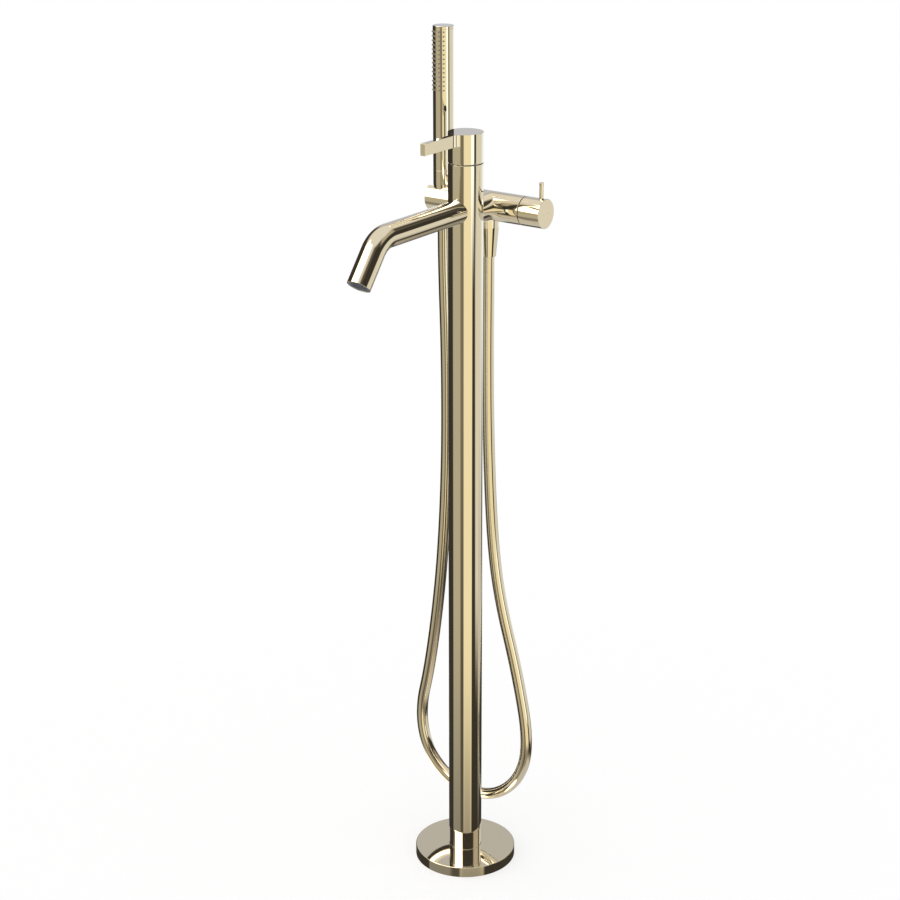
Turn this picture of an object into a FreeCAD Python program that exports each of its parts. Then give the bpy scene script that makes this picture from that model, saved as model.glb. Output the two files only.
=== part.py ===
"""Floor standing bath filler: a slim column with a bent spout, a turning mixer handle on its top,
and a cross bar behind it that carries a quarter-turn diverter and a hand shower on a hose.

Millimetres. The origin is on the floor at the column's axis. +Z is up, the spout points to -Y,
the diverter to +X and the hand shower stands at -X.
"""
import FreeCAD, Part
import math
import os

# Fits and thin gaps between neighbouring pieces
slide_fit = 0.05
loose_fit = 0.15
joint_line = 0.10

# Floor fixing
flange_diameter = 122.4
flange_height = 12.8
flange_wall = 2.4
flange_bevel = 0.8
flange_hub_wall = 5.0
flange_hub_depth = 5.0
base_plate_diameter = 104.0
base_plate_thickness = 5.0
bolt_circle = 84.0
bolt_hole_diameter = 9.0
bolt_count = 4
o_ring_section = 2.4

# Neck and column
neck_diameter = 38.4
neck_thread_diameter = 34.8
neck_bore = 31.0
neck_spigot_length = 72.0
column_diameter = 40.0
column_wall = 2.0
column_foot = 36.9
column_top = 871.8
column_screw_diameter = 6.0
column_screw_rise = 32.0
column_screw_spread = 35.0

# Supply tails inside the column
tail_spacing = 18.0
tail_diameter = 9.0
tail_foot = 20.0
tail_port_depth = 10.0
tail_nut_diameter = 12.6
tail_nut_foot = 8.0
tail_nut_height = 20.0
tail_thread_diameter = 9.6
pipe_guide_thickness = 8.0
pipe_guide_recess = 2.0

# Valve body and mixing cartridge
collar_height = 5.0
valve_body_tail = 30.3
valve_floor_thickness = 5.0
cartridge_diameter = 25.6
cartridge_length = 23.0
cartridge_neck_diameter = 19.0
cartridge_neck_length = 12.0
cartridge_seal_thickness = 1.2
cartridge_nut_diameter = 30.2
cartridge_nut_height = 9.6
mixer_spindle_diameter = 8.0
mixer_spindle_depth = 20.0
mixer_spindle_reach = 16.0
valve_port_diameter = 5.6
spout_port_diameter = 10.0
feed_port_setback = 6.5

# Mixer handle
handle_gap = 1.0
handle_height = 33.6
handle_wall = 2.8
handle_roof = 6.4
handle_hub_diameter = 16.0
handle_hub_gap = 3.2
glide_ring_width = 5.8
glide_ring_inset = 1.2
lever_width = 6.2
lever_height = 13.4
lever_reach = 80.5
lever_fillet = 6.0
handle_screw_diameter = 4.0
handle_screw_length = 3.8
handle_screw_rise = 8.0

# Spout
spout_diameter = 26.7
spout_bore = 18.0
spout_straight = 145.0
spout_bend_radius = 32.0
spout_fall_angle = 51.6
spout_tip_length = 41.5
spout_nipple_bore = 10.0
spout_nipple_in_body = 8.8
spout_nipple_in_spout = 26.0
spout_screw_diameter = 5.0
spout_screw_setback = 12.0
aerator_diameter = 24.4
aerator_depth = 12.0
aerator_recess = 0.4
aerator_wall = 1.4
aerator_seal_thickness = 1.5
aerator_mesh_thickness = 6.0

# Cross bar behind the column
bar_diameter = 33.3
bar_drop = 4.6
bar_setback = 48.5
bar_joint_reach = 20.0
stub_inset = 0.1
crossbar_spigot_diameter = 24.0
crossbar_spigot_depth = 6.4
crossbar_gasket_thickness = 1.2
channel_diameter = 5.0
cross_channel_diameter = 4.6
outlet_channel_diameter = 8.0
outlet_channel_rise = 3.2
channel_spread = 5.0
channel_rise = 6.5

# Diverter at the bar's right end
diverter_face_reach = 75.1
knob_length = 27.0
knob_gap = 1.0
knob_wall = 2.8
knob_hollow_depth = 10.0
knob_hub_diameter = 17.0
knob_end_wall = 3.6
diverter_diameter = 23.8
diverter_length = 26.0
diverter_neck_diameter = 13.0
diverter_neck_length = 8.0
diverter_nut_diameter = 28.0
diverter_nut_length = 8.4
diverter_nut_recess = 0.7
diverter_spindle_diameter = 10.0
diverter_spindle_depth = 10.0
pin_diameter = 5.0
pin_length = 18.4
pin_chamfer = 0.5
pin_inset = 6.2
index_dot_diameter = 1.1
index_dot_depth = 0.4
index_dot_spacing = 8.8

# Hand shower holder at the bar's left end
holder_reach = 79.8
holder_slot_width = 16.0
seat_clearance = 0.30
holder_stud_diameter = 10.0
holder_stud_length = 17.0
holder_stud_in_crossbar = 7.0

# Hose and its conical nuts
hose_diameter = 14.0
nut_diameter = 23.8
nut_straight = 16.2
nut_cone = 34.6
nut_mouth_diameter = 17.0
nut_mouth_bore = 14.8
nut_thread_diameter = 20.9
nut_thread_depth = 15.0
nut_chamber_diameter = 19.8
nut_chamber_depth = 5.15
nut_proud = 0.65
ferrule_collar_diameter = 19.4
ferrule_collar_height = 3.0
ferrule_sleeve_diameter = 14.4
ferrule_bore = 8.0
washer_diameter = 18.6
washer_thickness = 2.0
hose_insertion = 27.0
outlet_offset = -1.8
outlet_recess_depth = 8.15
nipple_diameter = 20.6
nipple_bore = 10.0
nipple_in_bar = 5.2

# Hand shower
handset_offset = -64.6
handset_diameter = 23.8
handset_length = 162.9
handset_wall = 1.3
end_cap_height = 3.0
end_cap_plug = 1.5
inlet_plug_length = 12.0
check_valve_diameter = 9.8
check_valve_length = 8.0
inner_tube_diameter = 17.6
inner_tube_wall = 1.2
spray_mat_thickness = 1.5
spray_mat_angle = 104.0
spray_mat_margin = 1.7
spray_rows = 14
spray_columns = 4
spray_row_pitch = 5.0
spray_column_angle = 25.0
spray_first_row = 6.3
nozzle_base_diameter = 2.2
nozzle_tip_diameter = 1.6
nozzle_stand_out = 1.6

# Heights that follow from the sizes above
base_top = base_plate_thickness
neck_spigot_top = column_foot + neck_spigot_length
valve_body_top = column_top - collar_height
cartridge_shoulder = valve_body_top - cartridge_nut_height - joint_line
cartridge_foot = cartridge_shoulder - cartridge_length
cartridge_seat = cartridge_foot - cartridge_seal_thickness
spout_axis_height = cartridge_seat - valve_floor_thickness - spout_bore / 2
bar_axis_height = spout_axis_height - bar_drop
valve_body_foot = bar_axis_height - crossbar_spigot_diameter / 2 - valve_body_tail
spindle_foot = cartridge_shoulder + cartridge_neck_length - mixer_spindle_depth
handle_foot = column_top + handle_gap
handle_top = handle_foot + handle_height
bar_foot = bar_axis_height - bar_diameter / 2
bar_crown = bar_axis_height + bar_diameter / 2
outlet_nut_top = bar_foot + outlet_recess_depth
handset_nut_top = bar_crown + nut_proud + nut_straight
handset_foot = handset_nut_top + joint_line
handset_top = handset_foot + handset_length
nut_height = nut_straight + nut_cone

column_axis = FreeCAD.Vector(0, 0, 0)
up = FreeCAD.Vector(0, 0, 1)
right = FreeCAD.Vector(1, 0, 0)


def point(x, y, z):
    return FreeCAD.Vector(x, y, z)


def rod(diameter, start, end):
    """A round bar between two points."""
    run = end - start
    return Part.makeCylinder(diameter / 2, run.Length, start, run)


def taper(start_diameter, end_diameter, start, end):
    """A cone frustum between two points."""
    run = end - start
    return Part.makeCone(start_diameter / 2, end_diameter / 2, run.Length, start, run)


def sleeve(outer, inner, start, end):
    """A round tube between two points."""
    return rod(outer, start, end).cut(rod(inner, start, end))


def upright(diameter, foot, top, at=column_axis):
    """A vertical round bar standing over the point at."""
    return rod(diameter, point(at.x, at.y, foot), point(at.x, at.y, top))


def upright_sleeve(outer, inner, foot, top, at=column_axis):
    return upright(outer, foot, top, at).cut(upright(inner, foot, top, at))


def fused(first, *others):
    """One solid from pieces that meet, with their seams removed."""
    return first.multiFuse(list(others)).removeSplitter()


def socket_screw(diameter, start, end):
    """A headless screw with a hexagon socket sunk in its far end."""
    run = end - start
    depth = run.Length * 0.4
    inward = FreeCAD.Vector(run).normalize()
    socket_floor = end - inward * depth
    across = FreeCAD.Vector(up) if abs(inward.z) < 0.9 else FreeCAD.Vector(right)
    corners = [across.cross(inward).normalize() * (diameter * 0.29)]
    turn = FreeCAD.Rotation(inward, 60)
    for _ in range(5):
        corners.append(turn.multVec(corners[-1]))
    outline = Part.makePolygon([socket_floor + corner for corner in corners + corners[:1]])
    socket = Part.Face(outline).extrude(inward * depth)
    return rod(diameter, start, end).cut(socket)


def path_wire(points, radii):
    """Straight runs joined by tangent arcs: one radius for each inner point."""
    edges = []
    last = points[0]
    for before, corner, after, radius in zip(points, points[1:], points[2:], radii):
        back = (before - corner).normalize()
        ahead = (after - corner).normalize()
        half_turn = (math.pi - back.getAngle(ahead)) / 2
        setback = radius * math.tan(half_turn)
        arc_start = corner + back * setback
        arc_end = corner + ahead * setback
        bisector = (back + ahead).normalize()
        arc_middle = corner + bisector * (radius / math.cos(half_turn) - radius)
        edges.append(Part.LineSegment(last, arc_start).toShape())
        edges.append(Part.Arc(arc_start, arc_middle, arc_end).toShape())
        last = arc_end
    edges.append(Part.LineSegment(last, points[-1]).toShape())
    return Part.Wire(edges)


def swept_rod(diameter, points, radii):
    """A round bar swept along straight runs and tangent arcs."""
    path = path_wire(points, radii)
    section = Part.makeCircle(diameter / 2, points[0], points[1] - points[0])
    return path.makePipeShell([Part.Wire([section])], True, False), path.Length


# ---------------------------------------------------------------- floor fixing

def make_floor_flange():
    """The loose cover over the floor fixing: a shallow dish with a hub round the neck."""
    dish = upright(flange_diameter, 0, flange_height)
    rim = [edge for edge in dish.Edges
           if len(edge.Vertexes) == 1 and abs(edge.BoundBox.ZMin - flange_height) < 1e-6]
    dish = dish.makeChamfer(flange_bevel, rim)
    roof = flange_height - flange_wall
    hollow = upright(flange_diameter - 2 * flange_wall, 0, roof)
    hub = upright(neck_diameter + 2 * flange_hub_wall, roof - flange_hub_depth, roof)
    hole = upright(neck_diameter + 2 * loose_fit, 0, flange_height)
    groove_foot = roof - flange_hub_depth / 2 - o_ring_section / 2
    groove = upright(neck_diameter + 2 * o_ring_section + 2 * loose_fit,
                     groove_foot, groove_foot + o_ring_section + slide_fit)
    return dish.cut(hollow).fuse(hub).cut(hole).cut(groove).removeSplitter()


def make_flange_o_ring():
    middle = flange_height - flange_wall - flange_hub_depth / 2 + slide_fit / 2
    major = neck_diameter / 2 + o_ring_section / 2
    return Part.makeTorus(major, o_ring_section / 2, point(0, 0, middle), up)


def make_base_plate():
    """The steel plate that is bolted to the floor."""
    plate = upright(base_plate_diameter, 0, base_top)
    plate = plate.cut(upright(neck_thread_diameter + 2 * slide_fit, 0, base_top))
    for index in range(bolt_count):
        angle = math.radians(360 / bolt_count * (index + 0.5))
        centre = point(bolt_circle / 2 * math.cos(angle), bolt_circle / 2 * math.sin(angle), 0)
        plate = plate.cut(upright(bolt_hole_diameter, 0, base_top, centre))
    return plate


column_bore = column_diameter - 2 * column_wall
spigot_face = column_bore / 2 - crossbar_spigot_depth
neck_spigot_diameter = column_bore - 2 * loose_fit


def make_neck_tube():
    """The post that stands on the base plate and carries the column."""
    post = fused(upright(neck_thread_diameter, 0, base_top),
                 upright(neck_diameter, base_top, column_foot),
                 upright(neck_spigot_diameter, column_foot, neck_spigot_top))
    return post.cut(upright(neck_bore, 0, neck_spigot_top))


# ---------------------------------------------------------------- column and supplies

def column_screw_ends(side):
    """Inner and outer end of the screw that locks the column on the neck's spigot."""
    angle = math.radians(90 + side * column_screw_spread)
    outward = point(math.cos(angle), math.sin(angle), 0)
    middle = point(0, 0, column_foot + column_screw_rise)
    return middle + outward * (neck_spigot_diameter / 2), middle + outward * (column_diameter / 2)


def make_column_tube():
    tube = upright_sleeve(column_diameter, column_bore, column_foot, column_top)
    spout_hole = rod(spout_bore + 2 * loose_fit, point(0, 0, spout_axis_height),
                     point(0, -column_diameter, spout_axis_height))
    bar_hole = rod(crossbar_spigot_diameter + 2 * loose_fit, point(0, 0, bar_axis_height),
                   point(0, column_diameter, bar_axis_height))
    tube = tube.cut(spout_hole).cut(bar_hole)
    for side in (-1, 1):
        inner, outer = column_screw_ends(side)
        reach = outer - inner
        tube = tube.cut(rod(column_screw_diameter + 2 * slide_fit, inner - reach, outer + reach))
    return tube


def make_column_screws():
    screws = []
    for side in (-1, 1):
        inner, outer = column_screw_ends(side)
        outward = (outer - inner).normalize()
        screws.append(socket_screw(column_screw_diameter, inner + outward * slide_fit,
                                   outer - outward * loose_fit))
    return Part.makeCompound(screws)


def tail_place(side):
    return point(side * tail_spacing / 2, 0, 0)


def make_pipe_guide():
    """The plastic disc in the neck's mouth that keeps the two supply tails apart."""
    top = neck_spigot_top - pipe_guide_recess
    disc = upright(neck_bore - 2 * slide_fit, top - pipe_guide_thickness, top)
    for side in (-1, 1):
        disc = disc.cut(upright(tail_diameter + 2 * slide_fit, top - pipe_guide_thickness, top,
                                tail_place(side)))
    return disc


def make_supply_tail(side):
    top = valve_body_foot + tail_port_depth - slide_fit
    return upright_sleeve(tail_diameter, valve_port_diameter, tail_foot, top, tail_place(side))


def make_tail_nut(side):
    """The threaded connector at a tail's lower end, open downwards."""
    at = tail_place(side)
    top = tail_nut_foot + tail_nut_height
    nut = upright(tail_nut_diameter, tail_nut_foot, top, at)
    nut = nut.cut(upright(tail_thread_diameter, tail_nut_foot, tail_foot, at))
    return nut.cut(upright(tail_diameter + 2 * slide_fit, tail_foot, top, at))


# ---------------------------------------------------------------- valve body and cartridge

def make_valve_body():
    """The brass body in the column's head: two inlets, a spout port and two ports to the bar."""
    body = upright(column_bore - 2 * loose_fit, valve_body_foot, valve_body_top)
    body = body.cut(upright(cartridge_diameter + 2 * loose_fit, cartridge_seat, valve_body_top))
    body = body.cut(upright(cartridge_nut_diameter + 2 * slide_fit, cartridge_shoulder,
                            valve_body_top))
    for side in (-1, 1):
        at = tail_place(side)
        body = body.cut(upright(valve_port_diameter, valve_body_foot, cartridge_seat, at))
        body = body.cut(upright(tail_diameter + 2 * slide_fit, valve_body_foot,
                                valve_body_foot + tail_port_depth, at))
    spout_seat = point(0, -column_bore / 2 + spout_nipple_in_body, spout_axis_height)
    body = body.cut(rod(spout_bore, spout_seat, point(0, -column_bore, spout_axis_height)))
    body = body.cut(rod(spout_port_diameter, spout_seat,
                        spout_seat + point(0, spout_nipple_in_body / 2, 0)))
    bar_seat = point(0, spigot_face - crossbar_gasket_thickness, bar_axis_height)
    body = body.cut(rod(crossbar_spigot_diameter + 2 * slide_fit, bar_seat,
                        point(0, column_bore, bar_axis_height)))
    feed_mouth = bar_seat + point(channel_spread, 0, channel_rise)
    feed_turn = point(channel_spread, feed_port_setback, feed_mouth.z)
    feed_top = point(channel_spread, feed_port_setback, cartridge_seat)
    body = body.cut(rod(channel_diameter, feed_mouth, feed_turn))
    body = body.cut(rod(channel_diameter, feed_turn - point(0, 0, channel_diameter / 2), feed_top))
    return_mouth = bar_seat + point(-channel_spread, 0, channel_rise)
    return body.cut(rod(channel_diameter, return_mouth + point(0, 1, 0), spout_seat))


def make_cartridge_seal():
    """The rubber disc under the cartridge, with the two inlets and the outlet through it."""
    seal = upright(cartridge_diameter, cartridge_seat, cartridge_foot)
    for side in (-1, 1):
        seal = seal.cut(upright(valve_port_diameter, cartridge_seat, cartridge_foot,
                                tail_place(side)))
    outlet = point(channel_spread, feed_port_setback, 0)
    return seal.cut(upright(channel_diameter, cartridge_seat, cartridge_foot, outlet))


def make_mixer_cartridge():
    top = cartridge_shoulder + cartridge_neck_length
    cartridge = fused(upright(cartridge_diameter, cartridge_foot, cartridge_shoulder),
                      upright(cartridge_neck_diameter, cartridge_shoulder, top))
    return cartridge.cut(upright(mixer_spindle_diameter + 2 * slide_fit, spindle_foot, top))


def make_cartridge_nut():
    foot = cartridge_shoulder
    return upright_sleeve(cartridge_nut_diameter, cartridge_neck_diameter + 2 * slide_fit,
                          foot, foot + cartridge_nut_height)


def make_top_collar():
    """The ring that closes the column's mouth round the cartridge's neck."""
    return upright_sleeve(column_bore - 2 * slide_fit, cartridge_neck_diameter + 2 * loose_fit,
                          valve_body_top, column_top)


def make_glide_ring():
    """The low-friction ring that the handle turns on, set back in the handle's shadow gap."""
    outer = column_diameter - 2 * glide_ring_inset
    return upright_sleeve(outer, outer - 2 * glide_ring_width, column_top, handle_foot - slide_fit)


# ---------------------------------------------------------------- mixer handle

spindle_top = cartridge_shoulder + cartridge_neck_length + mixer_spindle_reach
handle_screw_height = handle_foot + handle_screw_rise


def make_mixer_handle():
    """The hollow cap with its flat radial lever, blended into the cap by upright fillets."""
    cap = upright(column_diameter, handle_foot, handle_top)
    lever = Part.makeBox(lever_width, lever_reach, lever_height,
                         point(-lever_width / 2, -lever_reach, handle_top - lever_height))
    handle = fused(cap, lever)
    root = math.sqrt((column_diameter / 2) ** 2 - (lever_width / 2) ** 2)
    corners = []
    for edge in handle.Edges:
        box = edge.BoundBox
        at_root = abs(box.YMin + root) < 1e-3 and abs(box.YMax + root) < 1e-3
        if at_root and abs(box.ZLength - lever_height) < 1e-3:
            corners.append(edge)
    handle = handle.makeFillet(lever_fillet, corners)
    roof = handle_top - handle_roof
    handle = handle.cut(upright(column_diameter - 2 * handle_wall, handle_foot, roof))
    handle = handle.fuse(upright(handle_hub_diameter, handle_foot + handle_hub_gap, roof))
    handle = handle.cut(upright(mixer_spindle_diameter + 2 * slide_fit, handle_foot,
                                spindle_top + joint_line))
    access = rod(handle_screw_diameter + 2 * slide_fit, point(0, 0, handle_screw_height),
                 point(0, column_diameter, handle_screw_height))
    return handle.cut(access).removeSplitter()


def make_mixer_spindle():
    return upright(mixer_spindle_diameter, spindle_foot + slide_fit, spindle_top)


def make_handle_screw():
    start = point(0, mixer_spindle_diameter / 2 + slide_fit, handle_screw_height)
    return socket_screw(handle_screw_diameter, start, start + point(0, handle_screw_length, 0))


# ---------------------------------------------------------------- spout

spout_fall = math.radians(spout_fall_angle)
spout_tip_direction = point(0, -math.cos(spout_fall), -math.sin(spout_fall))
spout_corner = point(0, -spout_straight - spout_bend_radius * math.tan(spout_fall / 2),
                     spout_axis_height)
spout_mouth = spout_corner + spout_tip_direction * (spout_bend_radius * math.tan(spout_fall / 2)
                                                    + spout_tip_length)


def column_skin():
    """The space that the column takes, with a hairline round it."""
    return upright(column_diameter + 2 * slide_fit, valve_body_foot, handle_top)


def make_spout_tube():
    route = [point(0, 0, spout_axis_height), spout_corner, spout_mouth]
    outside, _ = swept_rod(spout_diameter, route, [spout_bend_radius])
    inside, _ = swept_rod(spout_bore, route, [spout_bend_radius])
    seat = rod(aerator_diameter + 2 * slide_fit, spout_mouth - spout_tip_direction * aerator_depth,
               spout_mouth)
    screw_hole = upright(spout_screw_diameter + 2 * slide_fit, spout_axis_height - spout_diameter,
                         spout_axis_height, point(0, spout_screw_place, 0))
    return outside.cut(column_skin()).cut(inside).cut(seat).cut(screw_hole)


def make_spout_nipple():
    """The hollow threaded stud that holds the spout to the valve body."""
    start = point(0, -column_bore / 2 + spout_nipple_in_body, spout_axis_height)
    end = point(0, -column_diameter / 2 - spout_nipple_in_spout, spout_axis_height)
    return sleeve(spout_bore - 2 * slide_fit, spout_nipple_bore, start, end)


spout_screw_place = -column_diameter / 2 - spout_screw_setback


def make_spout_screw():
    start = point(0, spout_screw_place, spout_axis_height - spout_bore / 2)
    end = point(0, spout_screw_place, spout_axis_height - spout_diameter / 2 + joint_line)
    return socket_screw(spout_screw_diameter, start, end)


def aerator_point(distance):
    """A point on the spout's axis, measured back from its mouth."""
    return spout_mouth - spout_tip_direction * distance


def make_aerator_seal():
    return sleeve(aerator_diameter, spout_bore, aerator_point(aerator_depth),
                  aerator_point(aerator_depth - aerator_seal_thickness))


def make_aerator_housing():
    return sleeve(aerator_diameter, aerator_diameter - 2 * aerator_wall,
                  aerator_point(aerator_depth - aerator_seal_thickness),
                  aerator_point(aerator_recess))


def make_aerator_mesh():
    return rod(aerator_diameter - 2 * aerator_wall - 2 * slide_fit,
               aerator_point(aerator_recess + aerator_mesh_thickness),
               aerator_point(aerator_recess + joint_line))


# ---------------------------------------------------------------- cross bar

def bar_point(x, y=0.0, z=0.0):
    """A point given from the cross bar's axis."""
    return point(x, bar_setback + y, bar_axis_height + z)


knob_inner_end = diverter_face_reach - knob_length
bar_right_end = knob_inner_end - knob_gap
diverter_shoulder = bar_right_end - diverter_nut_recess - diverter_nut_length
diverter_seat = diverter_shoulder - diverter_length
diverter_neck_end = diverter_shoulder + diverter_neck_length
outlet_place = point(outlet_offset, bar_setback, 0)
nipple_top = outlet_nut_top + nipple_in_bar
stud_crossbar_end = -bar_joint_reach + holder_stud_in_crossbar


def make_rear_crossbar():
    """The T-shaped casting: a stub out of the column and the arm that holds the diverter."""
    stub = rod(bar_diameter - 2 * stub_inset, point(0, 0, bar_axis_height), bar_point(0))
    stub = stub.cut(column_skin())
    arm = rod(bar_diameter, bar_point(-bar_joint_reach), bar_point(bar_right_end))
    spigot = rod(crossbar_spigot_diameter, point(0, spigot_face, bar_axis_height), bar_point(0))
    casting = fused(stub, arm, spigot)
    cuts = [
        rod(diverter_diameter + 2 * slide_fit, bar_point(diverter_seat), bar_point(bar_right_end)),
        rod(diverter_nut_diameter + 2 * slide_fit, bar_point(diverter_shoulder),
            bar_point(bar_right_end)),
        upright(nut_diameter + 2 * loose_fit, bar_foot - 1, outlet_nut_top + joint_line, outlet_place),
        upright(nipple_diameter + 2 * slide_fit, bar_foot, nipple_top, outlet_place),
        upright(outlet_channel_diameter, nipple_top, bar_axis_height + outlet_channel_rise,
                outlet_place),
        rod(cross_channel_diameter, bar_point(outlet_offset), bar_point(diverter_seat)),
        rod(holder_stud_diameter + 2 * slide_fit, bar_point(-bar_joint_reach),
            bar_point(stud_crossbar_end)),
    ]
    for side in (-1, 1):
        turn = bar_point(side * channel_spread, -side * channel_spread, channel_rise)
        mouth = point(turn.x, spigot_face, turn.z)
        seat = point(diverter_seat, turn.y, turn.z)
        cuts.append(rod(channel_diameter, mouth, turn + point(0, channel_diameter / 2, 0)))
        cuts.append(rod(cross_channel_diameter, turn, seat))
    for cut in cuts:
        casting = casting.cut(cut)
    return casting


def make_crossbar_gasket():
    """The gasket between the casting's spigot and the valve body, with both channels through it."""
    seat = point(0, spigot_face - crossbar_gasket_thickness, bar_axis_height)
    face = point(0, spigot_face, bar_axis_height)
    gasket = rod(crossbar_spigot_diameter, seat, face)
    for side in (-1, 1):
        shift = point(side * channel_spread, 0, channel_rise)
        gasket = gasket.cut(rod(channel_diameter, seat + shift, face + shift))
    return gasket


def make_outlet_nipple():
    foot = outlet_nut_top - nut_thread_depth + slide_fit
    return upright_sleeve(nipple_diameter, nipple_bore, foot, nipple_top, outlet_place)


# ---------------------------------------------------------------- diverter

def make_diverter_cartridge():
    body = fused(rod(diverter_diameter, bar_point(diverter_seat), bar_point(diverter_shoulder)),
                 rod(diverter_neck_diameter, bar_point(diverter_shoulder),
                     bar_point(diverter_neck_end)))
    return body.cut(rod(diverter_spindle_diameter + 2 * slide_fit,
                        bar_point(diverter_neck_end - diverter_spindle_depth),
                        bar_point(diverter_neck_end)))


def make_diverter_nut():
    return sleeve(diverter_nut_diameter, diverter_neck_diameter + 2 * slide_fit,
                  bar_point(diverter_shoulder), bar_point(diverter_shoulder + diverter_nut_length))


def make_diverter_spindle():
    start = diverter_neck_end - diverter_spindle_depth + slide_fit
    end = diverter_face_reach - knob_end_wall - joint_line
    return rod(diverter_spindle_diameter, bar_point(start), bar_point(end))


pin_place = diverter_face_reach - pin_inset
pin_top = bar_diameter / 2 + pin_length


def make_diverter_knob():
    """The hollow knob, as thick as the bar, with two index dots sunk in its end face."""
    knob = rod(bar_diameter, bar_point(knob_inner_end), bar_point(diverter_face_reach))
    hollow = sleeve(bar_diameter - 2 * knob_wall, knob_hub_diameter, bar_point(knob_inner_end),
                    bar_point(knob_inner_end + knob_hollow_depth))
    bore = rod(diverter_spindle_diameter + 2 * slide_fit, bar_point(knob_inner_end),
               bar_point(diverter_face_reach - knob_end_wall))
    pin_hole = rod(pin_diameter + 2 * slide_fit, bar_point(pin_place), bar_point(pin_place, 0, pin_top))
    knob = knob.cut(hollow).cut(bore).cut(pin_hole)
    for side in (-1, 1):
        dot = bar_point(diverter_face_reach, side * index_dot_spacing / 2)
        knob = knob.cut(rod(index_dot_diameter, dot - right * index_dot_depth, dot))
    return knob


def make_diverter_pin():
    """The pin that turns the knob and clamps it on its spindle."""
    foot = diverter_spindle_diameter / 2 + slide_fit
    pin = rod(pin_diameter, bar_point(pin_place, 0, foot), bar_point(pin_place, 0, pin_top))
    tip = [edge for edge in pin.Edges
           if abs(edge.BoundBox.ZMin - (bar_axis_height + pin_top)) < 1e-6]
    return pin.makeChamfer(pin_chamfer, tip)


# ---------------------------------------------------------------- hand shower holder

handset_place = point(handset_offset, bar_setback, 0)


def make_handset_holder():
    """The bar's left end: a conical seat for the hose nut, slotted so that the hose comes out."""
    arm = rod(bar_diameter, bar_point(-holder_reach), bar_point(-bar_joint_reach - slide_fit))
    cone_top = handset_nut_top - nut_straight
    cone_foot = cone_top - nut_cone
    seat = fused(
        taper(nut_mouth_diameter + 2 * seat_clearance, nut_diameter + 2 * seat_clearance,
              point(handset_offset, bar_setback, cone_foot),
              point(handset_offset, bar_setback, cone_top)),
        upright(nut_mouth_diameter + 2 * seat_clearance, bar_foot - nut_straight, cone_foot,
                handset_place),
        upright(nut_diameter + 2 * seat_clearance, cone_top, handset_nut_top, handset_place))
    slot = Part.makeBox(holder_reach + handset_offset + bar_diameter, holder_slot_width,
                        2 * bar_diameter,
                        bar_point(-holder_reach - bar_diameter, -holder_slot_width / 2,
                                  -bar_diameter))
    stud_hole = rod(holder_stud_diameter + 2 * slide_fit, bar_point(-bar_joint_reach),
                    bar_point(stud_crossbar_end - holder_stud_length))
    return arm.cut(seat).cut(slot).cut(stud_hole)


def make_holder_stud():
    return rod(holder_stud_diameter, bar_point(stud_crossbar_end - holder_stud_length + joint_line),
               bar_point(stud_crossbar_end - joint_line))


# ---------------------------------------------------------------- hose and its ends

def make_hose_nut(top, at):
    """A nut that is round above and tapers to the hose: its cone is also the hand shower's seat."""
    cone_top = top - nut_straight
    foot = top - nut_height
    nut = fused(upright(nut_diameter, cone_top, top, at),
                taper(nut_mouth_diameter, nut_diameter, point(at.x, at.y, foot),
                      point(at.x, at.y, cone_top)))
    shoulder = top - nut_thread_depth
    nut = nut.cut(upright(nut_thread_diameter, shoulder, top, at))
    nut = nut.cut(upright(nut_chamber_diameter, shoulder - nut_chamber_depth, shoulder, at))
    return nut.cut(upright(nut_mouth_bore, foot, shoulder, at))


def make_hose_ferrule(nut_top, at):
    """The collared end piece of the hose, which turns freely inside its nut."""
    collar_foot = nut_top - nut_thread_depth - nut_chamber_depth + slide_fit
    hose_end = nut_top - nut_height + hose_insertion
    ferrule = fused(upright(ferrule_collar_diameter, collar_foot,
                            collar_foot + ferrule_collar_height, at),
                    upright(ferrule_sleeve_diameter, hose_end, collar_foot, at))
    return ferrule.cut(upright(ferrule_bore, hose_end, collar_foot + ferrule_collar_height, at))


def make_hose_washer(nut_top, at):
    foot = (nut_top - nut_thread_depth - nut_chamber_depth + ferrule_collar_height + 2 * slide_fit)
    return upright_sleeve(washer_diameter, ferrule_bore, foot, foot + washer_thickness, at)


def hose_route():
    """The hose from its outlet nut down behind the column, round, and up to the hand shower."""
    start = point(outlet_offset, bar_setback, outlet_nut_top - nut_height + hose_insertion)
    end = point(handset_offset, bar_setback, handset_nut_top - nut_height + hose_insertion)
    return [
        start,
        point(outlet_offset, bar_setback, 722.0),
        point(-2.3, 48.5, 640.0),
        point(-1.0, 48.5, 535.0),
        point(5.0, 48.5, 412.0),
        point(16.0, 48.5, 333.0),
        point(43.0, 48.5, 240.0),
        point(61.5, 48.3, 148.0),
        point(48.0, 48.0, 93.0),
        point(8.0, 47.3, 57.5),
        point(-45.0, 46.6, 56.0),
        point(-90.0, 46.6, 91.0),
        point(-103.0, 47.2, 146.0),
        point(-87.0, 48.0, 215.0),
        point(-71.5, 48.5, 323.0),
        point(-63.7, 48.5, 419.0),
        point(-60.2, 48.5, 518.0),
        point(-60.5, 48.5, 626.0),
        point(-63.8, 48.5, 722.0),
        point(handset_offset, bar_setback, 773.0),
        end,
    ]


def cord_radii(route):
    """Each arc takes 0.45 of the shorter of its two runs."""
    radii = []
    for before, corner, after in zip(route, route[1:], route[2:]):
        half_turn = (math.pi - (before - corner).getAngle(after - corner)) / 2
        shorter = min((corner - before).Length, (after - corner).Length)
        radii.append(0.45 * shorter / math.tan(half_turn))
    return radii


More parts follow.
